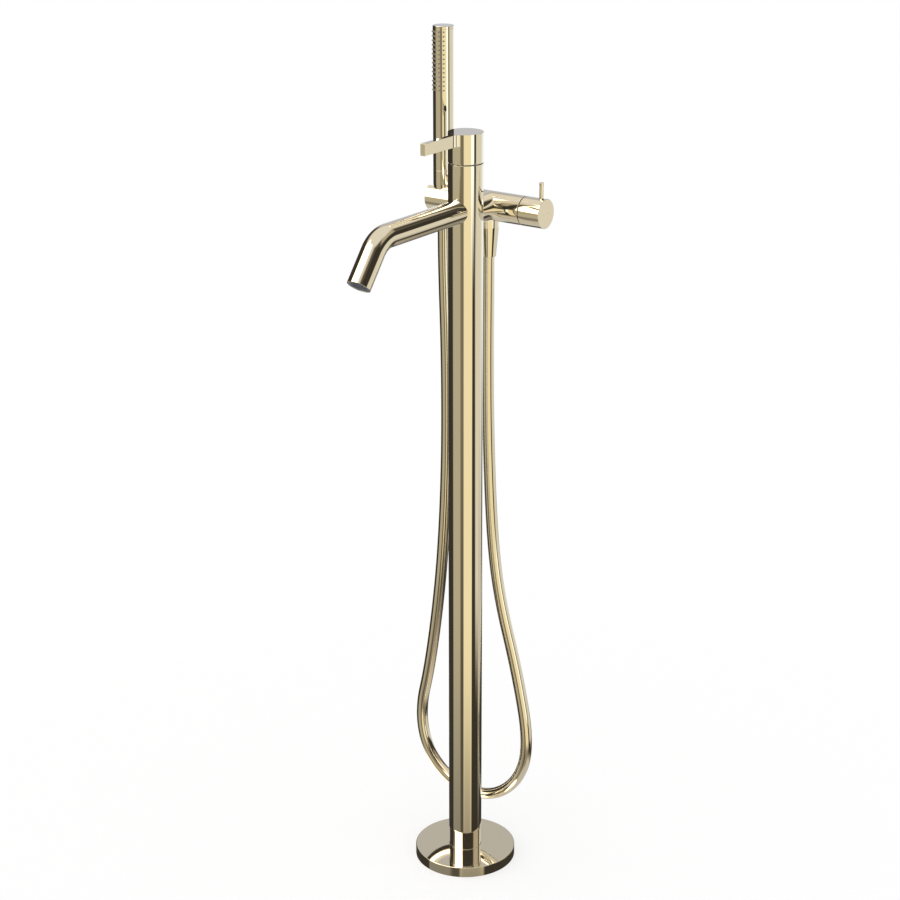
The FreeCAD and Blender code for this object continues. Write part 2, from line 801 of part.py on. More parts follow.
def make_shower_hose():
    route = hose_route()
    radii = cord_radii(route)
    hose, length = swept_rod(hose_diameter, route, radii)
    expected = math.pi / 4 * hose_diameter ** 2 * length
    print("hose length %.1f, bend radii" % length, [round(radius) for radius in radii])
    print("hose volume / (section x length) = %.5f" % (hose.Volume / expected))
    return hose


# ---------------------------------------------------------------- hand shower

handset_bore = handset_diameter - 2 * handset_wall
spray_direction = -90.0
spray_top_row = handset_top - spray_first_row
spray_bottom_row = spray_top_row - (spray_rows - 1) * spray_row_pitch
inlet_top = handset_foot + inlet_plug_length


def spray_axis(row, column):
    """Where a nozzle's row meets the hand shower's axis, and the way the nozzle points."""
    angle = math.radians(spray_direction
                         + (column - (spray_columns - 1) / 2) * spray_column_angle)
    middle = point(handset_offset, bar_setback, spray_top_row - row * spray_row_pitch)
    return middle, point(math.cos(angle), math.sin(angle), 0)


def spray_grid():
    return [spray_axis(row, column) for row in range(spray_rows) for column in range(spray_columns)]


def spray_hole(middle, outward):
    return rod(nozzle_base_diameter + 2 * slide_fit, middle, middle + outward * handset_diameter)


def spray_nozzle(middle, outward):
    """A nozzle: a round neck through the shell's wall and a tapered tip outside it."""
    root = middle + outward * (handset_bore / 2 - spray_mat_thickness / 2)
    skin = middle + outward * (handset_diameter / 2)
    return fused(rod(nozzle_base_diameter, root, skin),
                 taper(nozzle_base_diameter, nozzle_tip_diameter, skin,
                       skin + outward * nozzle_stand_out))


def make_handset_shell():
    shell = upright_sleeve(handset_diameter, handset_bore, handset_foot,
                           handset_top - end_cap_height - joint_line, handset_place)
    return shell.cut([spray_hole(middle, outward) for middle, outward in spray_grid()])


def make_spray_insert():
    """The flexible mat behind the shell's wall, with a nozzle through each of the shell's holes."""
    outer = handset_bore - 2 * slide_fit
    inner = outer - 2 * spray_mat_thickness
    foot = spray_bottom_row - spray_mat_margin
    height = spray_top_row + spray_mat_margin - foot
    corner = point(handset_offset, bar_setback, foot)
    sector = Part.makeCylinder(outer / 2, height, corner, up, spray_mat_angle)
    sector = sector.cut(Part.makeCylinder(inner / 2, height, corner, up))
    sector.rotate(corner, up, spray_direction - spray_mat_angle / 2)
    return fused(sector, *[spray_nozzle(middle, outward) for middle, outward in spray_grid()])


def make_handset_end_cap():
    seam = handset_top - end_cap_height
    return fused(upright(handset_diameter, seam, handset_top, handset_place),
                 upright(handset_bore - 2 * slide_fit, seam - end_cap_plug, seam, handset_place))


def make_handset_inlet():
    """The threaded inlet in the hand shower's foot, which the hose nut screws on."""
    foot = handset_nut_top - nut_thread_depth + slide_fit
    inlet = fused(upright(nipple_diameter, foot, handset_foot, handset_place),
                  upright(handset_bore - 2 * slide_fit, handset_foot, inlet_top, handset_place))
    return inlet.cut(upright(nipple_bore, foot, inlet_top, handset_place))


def make_check_valve():
    return upright(check_valve_diameter, inlet_top - check_valve_length - 1, inlet_top - 1,
                   handset_place)


def make_inner_tube():
    """The water tube inside the hand shower, open towards the spray mat along the nozzles."""
    top = handset_top - end_cap_height - end_cap_plug - joint_line
    bore = inner_tube_diameter - 2 * inner_tube_wall
    tube = upright_sleeve(inner_tube_diameter, bore, inlet_top, top, handset_place)
    window = Part.makeBox(bore / 2, handset_diameter, spray_top_row - spray_bottom_row,
                          point(handset_offset - bore / 4, bar_setback - handset_diameter,
                                spray_bottom_row))
    return tube.cut(window)


# ---------------------------------------------------------------- all the pieces

PIECES = {
    "floor_flange": make_floor_flange(),
    "flange_o_ring": make_flange_o_ring(),
    "base_plate": make_base_plate(),
    "neck_tube": make_neck_tube(),
    "column_tube": make_column_tube(),
    "column_grub_screws": make_column_screws(),
    "pipe_guide": make_pipe_guide(),
    "cold_supply_tail": make_supply_tail(-1),
    "hot_supply_tail": make_supply_tail(1),
    "cold_tail_nut": make_tail_nut(-1),
    "hot_tail_nut": make_tail_nut(1),
    "valve_body": make_valve_body(),
    "cartridge_seal": make_cartridge_seal(),
    "mixer_cartridge": make_mixer_cartridge(),
    "cartridge_nut": make_cartridge_nut(),
    "top_collar": make_top_collar(),
    "glide_ring": make_glide_ring(),
    "mixer_handle": make_mixer_handle(),
    "mixer_spindle": make_mixer_spindle(),
    "handle_grub_screw": make_handle_screw(),
    "spout_tube": make_spout_tube(),
    "spout_nipple": make_spout_nipple(),
    "spout_grub_screw": make_spout_screw(),
    "aerator_seal": make_aerator_seal(),
    "aerator_housing": make_aerator_housing(),
    "aerator_mesh": make_aerator_mesh(),
    "rear_crossbar": make_rear_crossbar(),
    "crossbar_gasket": make_crossbar_gasket(),
    "outlet_nipple": make_outlet_nipple(),
    "diverter_cartridge": make_diverter_cartridge(),
    "diverter_nut": make_diverter_nut(),
    "diverter_spindle": make_diverter_spindle(),
    "diverter_knob": make_diverter_knob(),
    "diverter_pin": make_diverter_pin(),
    "handset_holder": make_handset_holder(),
    "holder_stud": make_holder_stud(),
    "hose_nut_outlet": make_hose_nut(outlet_nut_top, outlet_place),
    "hose_washer_outlet": make_hose_washer(outlet_nut_top, outlet_place),
    "hose_ferrule_outlet": make_hose_ferrule(outlet_nut_top, outlet_place),
    "shower_hose": make_shower_hose(),
    "hose_ferrule_handset": make_hose_ferrule(handset_nut_top, handset_place),
    "hose_washer_handset": make_hose_washer(handset_nut_top, handset_place),
    "hose_nut_handset": make_hose_nut(handset_nut_top, handset_place),
    "handset_inlet": make_handset_inlet(),
    "check_valve": make_check_valve(),
    "handset_inner_tube": make_inner_tube(),
    "spray_insert": make_spray_insert(),
    "handset_shell": make_handset_shell(),
    "handset_end_cap": make_handset_end_cap(),
}

os.makedirs("parts", exist_ok=True)
for name, shape in PIECES.items():
    shape.exportStep("parts/" + name + ".step")
    print("%-22s solids %d  volume %9.0f  valid %s"
          % (name, len(shape.Solids), shape.Volume, shape.isValid()))
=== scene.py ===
# %% [markdown]
# # A floor standing bath filler in polished gold
#
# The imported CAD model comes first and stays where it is: it is the frame that every piece is fitted to.
# All sizes below are metres in that frame, with the floor at z = 0, the column on the z axis, the spout
# towards -Y and the hand shower towards -X. Many sizes are asked of the frame, the rest are written here.

# %% Load the frame
import math

import bmesh
import bpy
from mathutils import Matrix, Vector


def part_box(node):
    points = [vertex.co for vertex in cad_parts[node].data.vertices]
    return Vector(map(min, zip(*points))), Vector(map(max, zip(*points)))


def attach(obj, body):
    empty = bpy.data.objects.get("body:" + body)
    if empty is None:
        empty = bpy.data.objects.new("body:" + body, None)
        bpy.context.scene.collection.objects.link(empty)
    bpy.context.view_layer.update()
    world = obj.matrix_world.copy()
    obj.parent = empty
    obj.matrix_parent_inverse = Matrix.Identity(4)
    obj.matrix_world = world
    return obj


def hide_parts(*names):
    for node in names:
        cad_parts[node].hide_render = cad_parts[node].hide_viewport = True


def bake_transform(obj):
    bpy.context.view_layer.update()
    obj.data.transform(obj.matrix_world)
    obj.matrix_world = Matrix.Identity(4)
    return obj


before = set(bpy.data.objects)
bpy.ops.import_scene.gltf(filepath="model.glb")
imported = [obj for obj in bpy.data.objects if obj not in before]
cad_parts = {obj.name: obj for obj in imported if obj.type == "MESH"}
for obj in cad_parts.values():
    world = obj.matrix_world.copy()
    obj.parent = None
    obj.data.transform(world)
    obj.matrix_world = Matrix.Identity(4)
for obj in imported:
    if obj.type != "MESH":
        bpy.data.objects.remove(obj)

MM = 0.001
RIGHT = Vector((1, 0, 0))
BACK = Vector((0, 1, 0))
UP = Vector((0, 0, 1))

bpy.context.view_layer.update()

# %% [markdown]
# ## The camera
#
# The photograph looks down on the filler from its front right. The camera stands two and a quarter metres
# from the column and 1.36 m above the floor. A long lens keeps the column's sides nearly parallel. Depth
# of field stays off, so that other views stay sharp, and the small sideways shift is the photograph's own
# framing.

# %% Camera
lens = bpy.data.cameras.new("camera")
lens.lens = 82.457
lens.sensor_width = 36
lens.shift_x = -0.01271
lens.clip_end = 100
camera = bpy.data.objects.new("camera", lens)
camera.location = (1.2859, -1.8426, 1.3572)
camera.rotation_euler = (math.radians(69.87), 0, math.radians(35.03))
bpy.context.scene.collection.objects.link(camera)
bpy.context.scene.camera = camera
bpy.context.scene.view_settings.view_transform = "Standard"
print("camera", round(camera.location.length, 3), "m from the origin")

# %% [markdown]
# ## The shower hose
#
# The hose is one length of smooth tube, 14 mm thick, from the nut under the cross bar to the nut
# under the hand shower. It drops straight out of its nut, swings out in one loop that stays five
# centimetres above the floor, and rises again. A NURBS spline with listed control points gives it
# the soft line of a real hose: points on arcs would look like bent pipe. The spline is read first without
# thickness, for the line that the tube follows. Then it is turned into a mesh tube.

# %% Clear the selection before each operator
def deselect():
    """Leaves edit mode and selects nothing."""
    if bpy.context.mode != "OBJECT":
        bpy.ops.object.mode_set(mode="OBJECT")
    bpy.ops.object.select_all(action="DESELECT")


def choose(piece):
    """Makes one piece the only selected and the active one."""
    deselect()
    piece.select_set(True)
    bpy.context.view_layer.objects.active = piece


# %% The hose's route
HOSE_THICKNESS = 14 * MM
hose_route = [
    (-0.0018, 0.0485, 0.7820), (-0.0018, 0.0485, 0.7220), (-0.0023, 0.0485, 0.6400),
    (-0.0010, 0.0485, 0.5350), (0.0050, 0.0485, 0.4120), (0.0160, 0.0485, 0.3330),
    (0.0430, 0.0485, 0.2400), (0.0615, 0.0483, 0.1480), (0.0480, 0.0480, 0.0930),
    (0.0080, 0.0473, 0.0575), (-0.0450, 0.0466, 0.0560), (-0.0900, 0.0466, 0.0910),
    (-0.1030, 0.0472, 0.1460), (-0.0870, 0.0480, 0.2150), (-0.0715, 0.0480, 0.3230),
    (-0.0637, 0.0480, 0.4190), (-0.0602, 0.0480, 0.5180), (-0.0605, 0.0480, 0.6260),
    (-0.0638, 0.0480, 0.7220), (-0.0646, 0.0480, 0.7730), (-0.0646, 0.0485, 0.8240),
]


def hose_spline(name):
    """A smooth open spline with the route's points as its control points."""
    curve = bpy.data.curves.new(name, "CURVE")
    curve.dimensions = "3D"
    curve.resolution_u = 24
    spline = curve.splines.new("NURBS")
    spline.points.add(len(hose_route) - 1)
    for knot, place in zip(spline.points, hose_route):
        knot.co = (*place, 1)
    spline.order_u = 3
    spline.use_endpoint_u = True
    hose_curve = bpy.data.objects.new(name, curve)
    bpy.context.scene.collection.objects.link(hose_curve)
    return hose_curve


# %% The line that the hose follows
hose_line = hose_spline("hose_line")
line_mesh = bpy.data.meshes.new_from_object(hose_line)
hose_path = [vertex.co.copy() for vertex in line_mesh.vertices]
bpy.data.meshes.remove(line_mesh)
bpy.data.objects.remove(hose_line)
hose_run = sum((after - before).length for before, after in zip(hose_path, hose_path[1:]))
print("hose line", len(hose_path), "points,", round(hose_run, 3), "m")

# %% The hose's tube
hose = hose_spline("shower_hose_tube")
hose.data.bevel_depth = HOSE_THICKNESS / 2
hose.data.bevel_resolution = 14
hose.data.use_fill_caps = True
choose(hose)
bpy.ops.object.convert(target="MESH")
hose = bpy.context.object
bpy.ops.object.shade_smooth()
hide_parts("shower_hose")
print("hose tube", len(hose.data.polygons), "faces")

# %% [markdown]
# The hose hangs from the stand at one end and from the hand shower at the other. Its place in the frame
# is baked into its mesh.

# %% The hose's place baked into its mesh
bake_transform(hose)

# %% [markdown]
# ## The studio
#
# Polished metal has hardly a look of its own: it shows the room. The room here is a plain studio, painted
# in the world's background so that nothing stands in the way of the camera from any side. It has a pale
# ceiling, a pale floor and a dark band between them. Pale walls, shades and soft white boxes stand in
# front of that, as a product photographer would set them, and draw the long light and dark bands down the
# column. Each of them is one "studio card", a node group that gives a soft-edged patch at a compass
# direction and a height. A later card covers an earlier one. Directions are in degrees, from the camera's
# own side of the object, and fixed in the room.

# %% Helpers for node trees
WHITE = (1, 1, 1, 1)


def feed(tree, socket, value):
    """Links a socket to another one, or sets it to a plain value."""
    if isinstance(value, bpy.types.NodeSocket):
        tree.links.new(value, socket)
    else:
        socket.default_value = value


def calculate(tree, operation, *inputs):
    """One Math node. Its inputs are numbers or sockets."""
    node = tree.nodes.new("ShaderNodeMath")
    node.operation = operation
    for socket, value in zip(node.inputs, inputs):
        feed(tree, socket, value)
    return node.outputs[0]


def mix_colours(tree, factor, first, second):
    """One Mix node, from the first colour at factor 0 to the second at factor 1."""
    node = tree.nodes.new("ShaderNodeMix")
    node.data_type = "RGBA"
    for label, value in (("Factor", factor), ("A", first), ("B", second)):
        feed(tree, node.inputs[label], value)
    return node.outputs["Result"]


def new_group(name, inputs, outputs):
    """A shader node group. Inputs are (name, type, value), outputs are (name, type)."""
    group = bpy.data.node_groups.new(name, "ShaderNodeTree")
    for label, kind, value in inputs:
        socket = group.interface.new_socket(label, in_out="INPUT", socket_type=kind)
        if value is not None:
            socket.default_value = value
    for label, kind in outputs:
        group.interface.new_socket(label, in_out="OUTPUT", socket_type=kind)
    return group, group.nodes.new("NodeGroupInput").outputs, group.nodes.new("NodeGroupOutput").inputs


def soft_step(tree, value, start, end):
    """A smooth ramp from 1 at the start to 0 at the end."""
    node = tree.nodes.new("ShaderNodeMapRange")
    node.interpolation_type = "SMOOTHSTEP"
    settings = {"Value": value, "From Min": start, "From Max": end, "To Min": 1, "To Max": 0}
    for label, setting in settings.items():
        feed(tree, node.inputs[label], setting)
    return node.outputs["Result"]


# %% Studio card: a soft-edged patch on the studio's wall
card_group, card_in, card_out = new_group("Studio card", [
    ("Compass", "NodeSocketFloat", 0), ("Height", "NodeSocketFloat", 0),
    ("Centre", "NodeSocketFloat", 0), ("Half width", "NodeSocketFloat", 20),
    ("Middle", "NodeSocketFloat", 0), ("Half height", "NodeSocketFloat", 20),
    ("Lean", "NodeSocketFloat", 0), ("Soft sides", "NodeSocketFloat", 3),
    ("Soft ends", "NodeSocketFloat", 3),
], [("Mask", "NodeSocketFloat")])
above = calculate(card_group, "SUBTRACT", card_in["Height"], card_in["Middle"])
leaning = calculate(card_group, "MULTIPLY_ADD", above, card_in["Lean"], card_in["Centre"])
aside = calculate(card_group, "SUBTRACT", card_in["Compass"], leaning)
aside = calculate(card_group, "ABSOLUTE", calculate(card_group, "WRAP", aside, 180, -180))
across = soft_step(card_group, aside,
                   calculate(card_group, "SUBTRACT", card_in["Half width"], card_in["Soft sides"]),
                   calculate(card_group, "ADD", card_in["Half width"], card_in["Soft sides"]))
upright = soft_step(card_group, calculate(card_group, "ABSOLUTE", above),
                    calculate(card_group, "SUBTRACT", card_in["Half height"], card_in["Soft ends"]),
                    calculate(card_group, "ADD", card_in["Half height"], card_in["Soft ends"]))
card_group.links.new(calculate(card_group, "MULTIPLY", across, upright), card_out["Mask"])
print("studio card group", len(card_group.nodes), "nodes")

# %% The cards of this studio: a name, the settings in this order, and the strength of red, green and blue
card_settings = ("Centre", "Half width", "Middle", "Half height", "Lean", "Soft sides", "Soft ends")
studio_cards = [
    ("pale ceiling", 0, 200, 70, 25, 0, 1, 6, (1.05, 1.14, 1.32)),
    ("pale floor", 0, 200, -70, 27, 0, 1, 5, (0.78, 0.86, 1.0)),
    ("dark room between floor and ceiling", 0, 200, 0, 38, 0, 1, 7, (0.055, 0.055, 0.055)),
    ("shade high on the right", 40, 30, 40, 6, 0, 14, 8, (0.055, 0.055, 0.055)),
    ("grey wall high on the right", 88, 24, 33, 9, 0, 8, 5, (0.62, 0.62, 0.6)),
    ("bright corner high behind the object", 150, 22, 37, 8, 0, 8, 5, (1.1, 1.15, 1.2)),
    ("grey wall left of the camera", -50.5, 40.5, -6, 32, 0, 5, 5, (0.64, 0.67, 0.64)),
    ("foot of the grey wall", -50.5, 40.5, -37, 8.5, 0, 5, 4, (0.32, 0.34, 0.37)),
    ("shade beside the grey wall", -22, 12, -8, 30, 0, 5, 8, (0.27, 0.27, 0.25)),
    ("foot of the shade", -22, 11, -31, 8, 0, 7, 6, (0.12, 0.12, 0.12)),
    ("wall behind the camera", 16, 28.3, -13.8, 16.9, 0, 3, 6, (1.25, 1.27, 1.1)),
    ("its foot", 12.5, 21.5, -38.5, 8.5, 0, 7, 4, (0.41, 0.42, 0.45)),
    ("bright wall right of the camera", 92, 30, -12.5, 13, -0.8, 5, 2, (1.0, 1.08, 1.18)),
    ("foot of the bright wall", 108, 9, -24.5, 4, 0, 5, 3, (0.8, 0.86, 0.94)),
    ("bright edge of the wall behind the camera", 45, 10, -6, 8, 0, 3, 2, (1.7, 2.0, 2.5)),
    ("dark gap beside it", 64, 6, -6, 8, 0, 3, 2, (0.055, 0.055, 0.055)),
    ("far white wall", 148, 28, -9, 10, 0, 8, 5, (1.2, 1.4, 1.7)),
    ("pale wall behind the object", 180, 14, 10, 30, 0, 6, 8, (0.67, 0.74, 0.9)),
    ("white soft box, low", -71, 12, 17, 13, 0, 5, 4, (4.5, 4.5, 4.5)),
    ("white soft box, between", -50, 27, 31, 6, 0, 4, 3, (4.5, 4.5, 4.5)),
    ("white soft box, high", -60, 41, 47, 13, 0, 4, 4, (4.5, 4.5, 4.5)),
    ("white strip over the floor", -130, 22, -45, 6, 0, 6, 3, (2.5, 2.5, 2.5)),
    ("shade over the floor behind the object", -165, 10, -45, 9, 0, 5, 4, (0.12, 0.12, 0.12)),
]


# %% Paint the world with them
def studio_world():
    """A world whose colour is the room with all its cards. It is left without an output."""
    world = bpy.data.worlds.new("studio")
    world.use_nodes = True
    tree = world.node_tree
    tree.nodes.clear()
    towards = tree.nodes.new("ShaderNodeTexCoord").outputs["Generated"]
    turned_room = tree.nodes.new("ShaderNodeVectorRotate")
    turned_room.rotation_type = "Z_AXIS"
    turned_room.inputs["Angle"].default_value = -camera.rotation_euler.z
    tree.links.new(towards, turned_room.inputs["Vector"])
    split = tree.nodes.new("ShaderNodeSeparateXYZ")
    tree.links.new(turned_room.outputs[0], split.inputs[0])
    towards_camera = calculate(tree, "MULTIPLY", split.outputs["Y"], -1)
    compass = calculate(tree, "DEGREES", calculate(tree, "ARCTAN2", split.outputs["X"], towards_camera))
    height = calculate(tree, "DEGREES", calculate(tree, "ARCSINE", split.outputs["Z"]))
    room = WHITE
    for name, *settings, strength in studio_cards:
        card = tree.nodes.new("ShaderNodeGroup")
        card.node_tree = card_group
        card.label = name
        tree.links.new(compass, card.inputs["Compass"])
        tree.links.new(height, card.inputs["Height"])
        for label, value in zip(card_settings, settings):
            card.inputs[label].default_value = value
        room = mix_colours(tree, card.outputs["Mask"], room, (*strength, 1))
    return world, tree, room


world, world_tree, room_colour = studio_world()
bpy.context.scene.world = world
print("studio with", len(studio_cards), "cards")

# %% [markdown]
# The camera sees a plain white background, and dull surfaces are lit by an even white sky of strength 1,
# so that a colour renders about as it is written. Only mirror-like rays look into the room with its
# cards. The floor is painted white too. Of what the camera sees of it, six tenths are a plain white glow
# of strength 1 and the rest is lit paint. So it stays white without more light on the object, and the
# object's shadow on it stays pale. Reflections leave this floor out and show the room's own.

# %% What each kind of ray sees
def plain_for_other_rays(tree, room):
    """The room for mirror-like rays and plain white for all others."""
    rays = tree.nodes.new("ShaderNodeLightPath").outputs
    mirror = calculate(tree, "MAXIMUM", rays["Is Glossy Ray"], rays["Is Transmission Ray"])
    background = tree.nodes.new("ShaderNodeBackground")
    background.inputs["Strength"].default_value = 1
    tree.links.new(mix_colours(tree, mirror, WHITE, room), background.inputs["Color"])
    output = tree.nodes.new("ShaderNodeOutputWorld")
    tree.links.new(background.outputs[0], output.inputs["Surface"])


plain_for_other_rays(world_tree, room_colour)

# %% Floor
FLOOR_SIZE = 60
FLOOR_DROP = 0.2 * MM
GLOWING_PART = 0.6
deselect()
bpy.ops.mesh.primitive_plane_add(size=FLOOR_SIZE, location=(0, 0, -FLOOR_DROP))
floor = bpy.context.object
floor.name = "studio_floor"
floor.visible_glossy = False
floor_paint = bpy.data.materials.new("white floor paint")
floor_paint.use_nodes = True
floor_nodes = floor_paint.node_tree
floor_shader = floor_nodes.nodes["Principled BSDF"]
floor_shader.inputs["Base Color"].default_value = WHITE
floor_shader.inputs["Roughness"].default_value = 1
floor_shader.inputs["Specular IOR Level"].default_value = 0
floor_glow = floor_nodes.nodes.new("ShaderNodeEmission")
floor_mix = floor_nodes.nodes.new("ShaderNodeMixShader")
floor_rays = floor_nodes.nodes.new("ShaderNodeLightPath")
glow_share = calculate(floor_nodes, "MULTIPLY", floor_rays.outputs["Is Camera Ray"], GLOWING_PART)
floor_nodes.links.new(glow_share, floor_mix.inputs[0])
floor_nodes.links.new(floor_shader.outputs[0], floor_mix.inputs[1])
floor_nodes.links.new(floor_glow.outputs[0], floor_mix.inputs[2])
floor_nodes.links.new(floor_mix.outputs[0], floor_nodes.nodes["Material Output"].inputs["Surface"])
floor.data.materials.append(floor_paint)
print("floor", floor.name)

# %% [markdown]
# ## Finishes
#
# Effects that several materials share are node groups: the haze that polishing leaves on metal, the marks
# of the lathe, and the fine grain of a mould. They put out a colour and a roughness that change over the
# surface, and the last two also a normal. Whatever is the same all over is set on the shader itself.

# %% Helpers for surface effects
def own_place(tree):
    """Where a point lies on its own piece."""
    return tree.nodes.new("ShaderNodeTexCoord").outputs["Object"]


def noise(tree, place, scale, detail=2):
    """A noise from 0 to 1. A larger scale makes smaller spots."""
    node = tree.nodes.new("ShaderNodeTexNoise")
    tree.links.new(place, node.inputs["Vector"])
    feed(tree, node.inputs["Scale"], scale)
    node.inputs["Detail"].default_value = detail
    return node.outputs["Fac"]


def bump(tree, height, distance, strength):
    """The normal of a surface that a pattern raises by up to the distance."""
    node = tree.nodes.new("ShaderNodeBump")
    node.inputs["Distance"].default_value = distance
    tree.links.new(strength, node.inputs["Strength"])
    tree.links.new(height, node.inputs["Height"])
    return node.outputs["Normal"]


# %% Polishing haze
haze_group, haze_in, haze_out = new_group("Polishing haze", [
    ("Base", "NodeSocketColor", (0.7, 0.56, 0.36, 1)),
    ("Warm spots", "NodeSocketColor", (0.7, 0.53, 0.33, 1)),
    ("Gloss", "NodeSocketFloat", 0.03), ("Haze", "NodeSocketFloat", 0.03),
], [("Color", "NodeSocketColor"), ("Roughness", "NodeSocketFloat")])
haze_place = own_place(haze_group)
clouds = noise(haze_group, haze_place, scale=22, detail=4)
wipes = noise(haze_group, haze_place, scale=240)
patches = calculate(haze_group, "MULTIPLY", clouds, wipes)
haze_group.links.new(calculate(haze_group, "MULTIPLY_ADD", patches, haze_in["Haze"], haze_in["Gloss"]),
                     haze_out["Roughness"])
haze_group.links.new(mix_colours(haze_group, clouds, haze_in["Base"], haze_in["Warm spots"]),
                     haze_out["Color"])
print("polishing haze group", len(haze_group.nodes), "nodes")

# %% Lathe marks: fine rings and a little tarnish
RING_HEIGHT = 0.05 * MM
TURNED_ROUGHNESS = 0.2
TARNISH_ROUGHNESS = 0.25
lathe_group, lathe_in, lathe_out = new_group("Lathe marks", [
    ("Bright", "NodeSocketColor", (0.7, 0.5, 0.25, 1)),
    ("Tarnish", "NodeSocketColor", (0.5, 0.33, 0.15, 1)),
    ("Rings", "NodeSocketFloat", 900), ("Depth", "NodeSocketFloat", 0.1),
], [("Color", "NodeSocketColor"), ("Roughness", "NodeSocketFloat"), ("Normal", "NodeSocketVector")])
lathe_place = own_place(lathe_group)
rings = lathe_group.nodes.new("ShaderNodeTexWave")
rings.bands_direction = "Z"
rings.inputs["Distortion"].default_value = 1.5
lathe_group.links.new(lathe_place, rings.inputs["Vector"])
lathe_group.links.new(lathe_in["Rings"], rings.inputs["Scale"])
tarnish = noise(lathe_group, lathe_place, scale=90, detail=6)
lathe_group.links.new(mix_colours(lathe_group, tarnish, lathe_in["Bright"], lathe_in["Tarnish"]),
                      lathe_out["Color"])
lathe_group.links.new(
    calculate(lathe_group, "MULTIPLY_ADD", tarnish, TARNISH_ROUGHNESS, TURNED_ROUGHNESS),
    lathe_out["Roughness"])
lathe_group.links.new(bump(lathe_group, rings.outputs["Fac"], RING_HEIGHT, lathe_in["Depth"]),
                      lathe_out["Normal"])
print("lathe marks group", len(lathe_group.nodes), "nodes")

# %% Moulded grain: the skin of plastic, rubber and silicone
PORE_HEIGHT = 0.08 * MM
PORE_ROUGHNESS = 0.2
grain_group, grain_in, grain_out = new_group("Moulded grain", [
    ("Base", "NodeSocketColor", (0.5, 0.5, 0.5, 1)), ("Mottle", "NodeSocketColor", (0.4, 0.4, 0.4, 1)),
    ("Gloss", "NodeSocketFloat", 0.4), ("Grain size", "NodeSocketFloat", 1500),
    ("Depth", "NodeSocketFloat", 0.15),
], [("Color", "NodeSocketColor"), ("Roughness", "NodeSocketFloat"), ("Normal", "NodeSocketVector")])
grain_place = own_place(grain_group)
pores = noise(grain_group, grain_place, grain_in["Grain size"], detail=3)
blotches = noise(grain_group, grain_place, scale=120)
grain_group.links.new(mix_colours(grain_group, blotches, grain_in["Base"], grain_in["Mottle"]),
                      grain_out["Color"])
grain_group.links.new(calculate(grain_group, "MULTIPLY_ADD", pores, PORE_ROUGHNESS, grain_in["Gloss"]),
                      grain_out["Roughness"])
grain_group.links.new(bump(grain_group, pores, PORE_HEIGHT, grain_in["Depth"]), grain_out["Normal"])
print("moulded grain group", len(grain_group.nodes), "nodes")

# %% [markdown]
# A gold piece that is mirrored in another one is tinted twice, and would look a deeper yellow than it does
# in the photograph. So a ray that comes from another mirror meets a paler gold, a painted paler reflection.
# The eye still sees the full colour, and the shader's Light Path tells the two apart.

# %% Gold that is seen in gold, painted paler in reflections
def paint_reflections_pale(tree, colour, pale):
    """The colour itself for the eye, and a painted paler one for a ray that another mirror sends."""
    rays = tree.nodes.new("ShaderNodeLightPath").outputs
    return mix_colours(tree, rays["Is Glossy Ray"], colour, pale)


# %% A material from a shared effect
def finish(name, effect, settings, metallic=0.0, coat=0.0, painted_reflection_colour=None):
    """A material whose Principled shader takes what the effect group puts out."""
    material = bpy.data.materials.new(name)
    material.use_nodes = True
    tree = material.node_tree
    shader = tree.nodes["Principled BSDF"]
    shader.inputs["Metallic"].default_value = metallic
    shader.inputs["Coat Weight"].default_value = coat
    group = tree.nodes.new("ShaderNodeGroup")
    group.node_tree = effect
    for label, value in settings.items():
        group.inputs[label].default_value = value
    colour = group.outputs["Color"]
    # Gold seen in another mirror gets a painted paler colour: a painted reflection.
    if painted_reflection_colour:
        colour = paint_reflections_pale(tree, colour, painted_reflection_colour)
    tree.links.new(colour, shader.inputs["Base Color"])
    tree.links.new(group.outputs["Roughness"], shader.inputs["Roughness"])
    if "Normal" in group.outputs:
        tree.links.new(group.outputs["Normal"], shader.inputs["Normal"])
    material.diffuse_color = list(settings.values())[0]
    return material
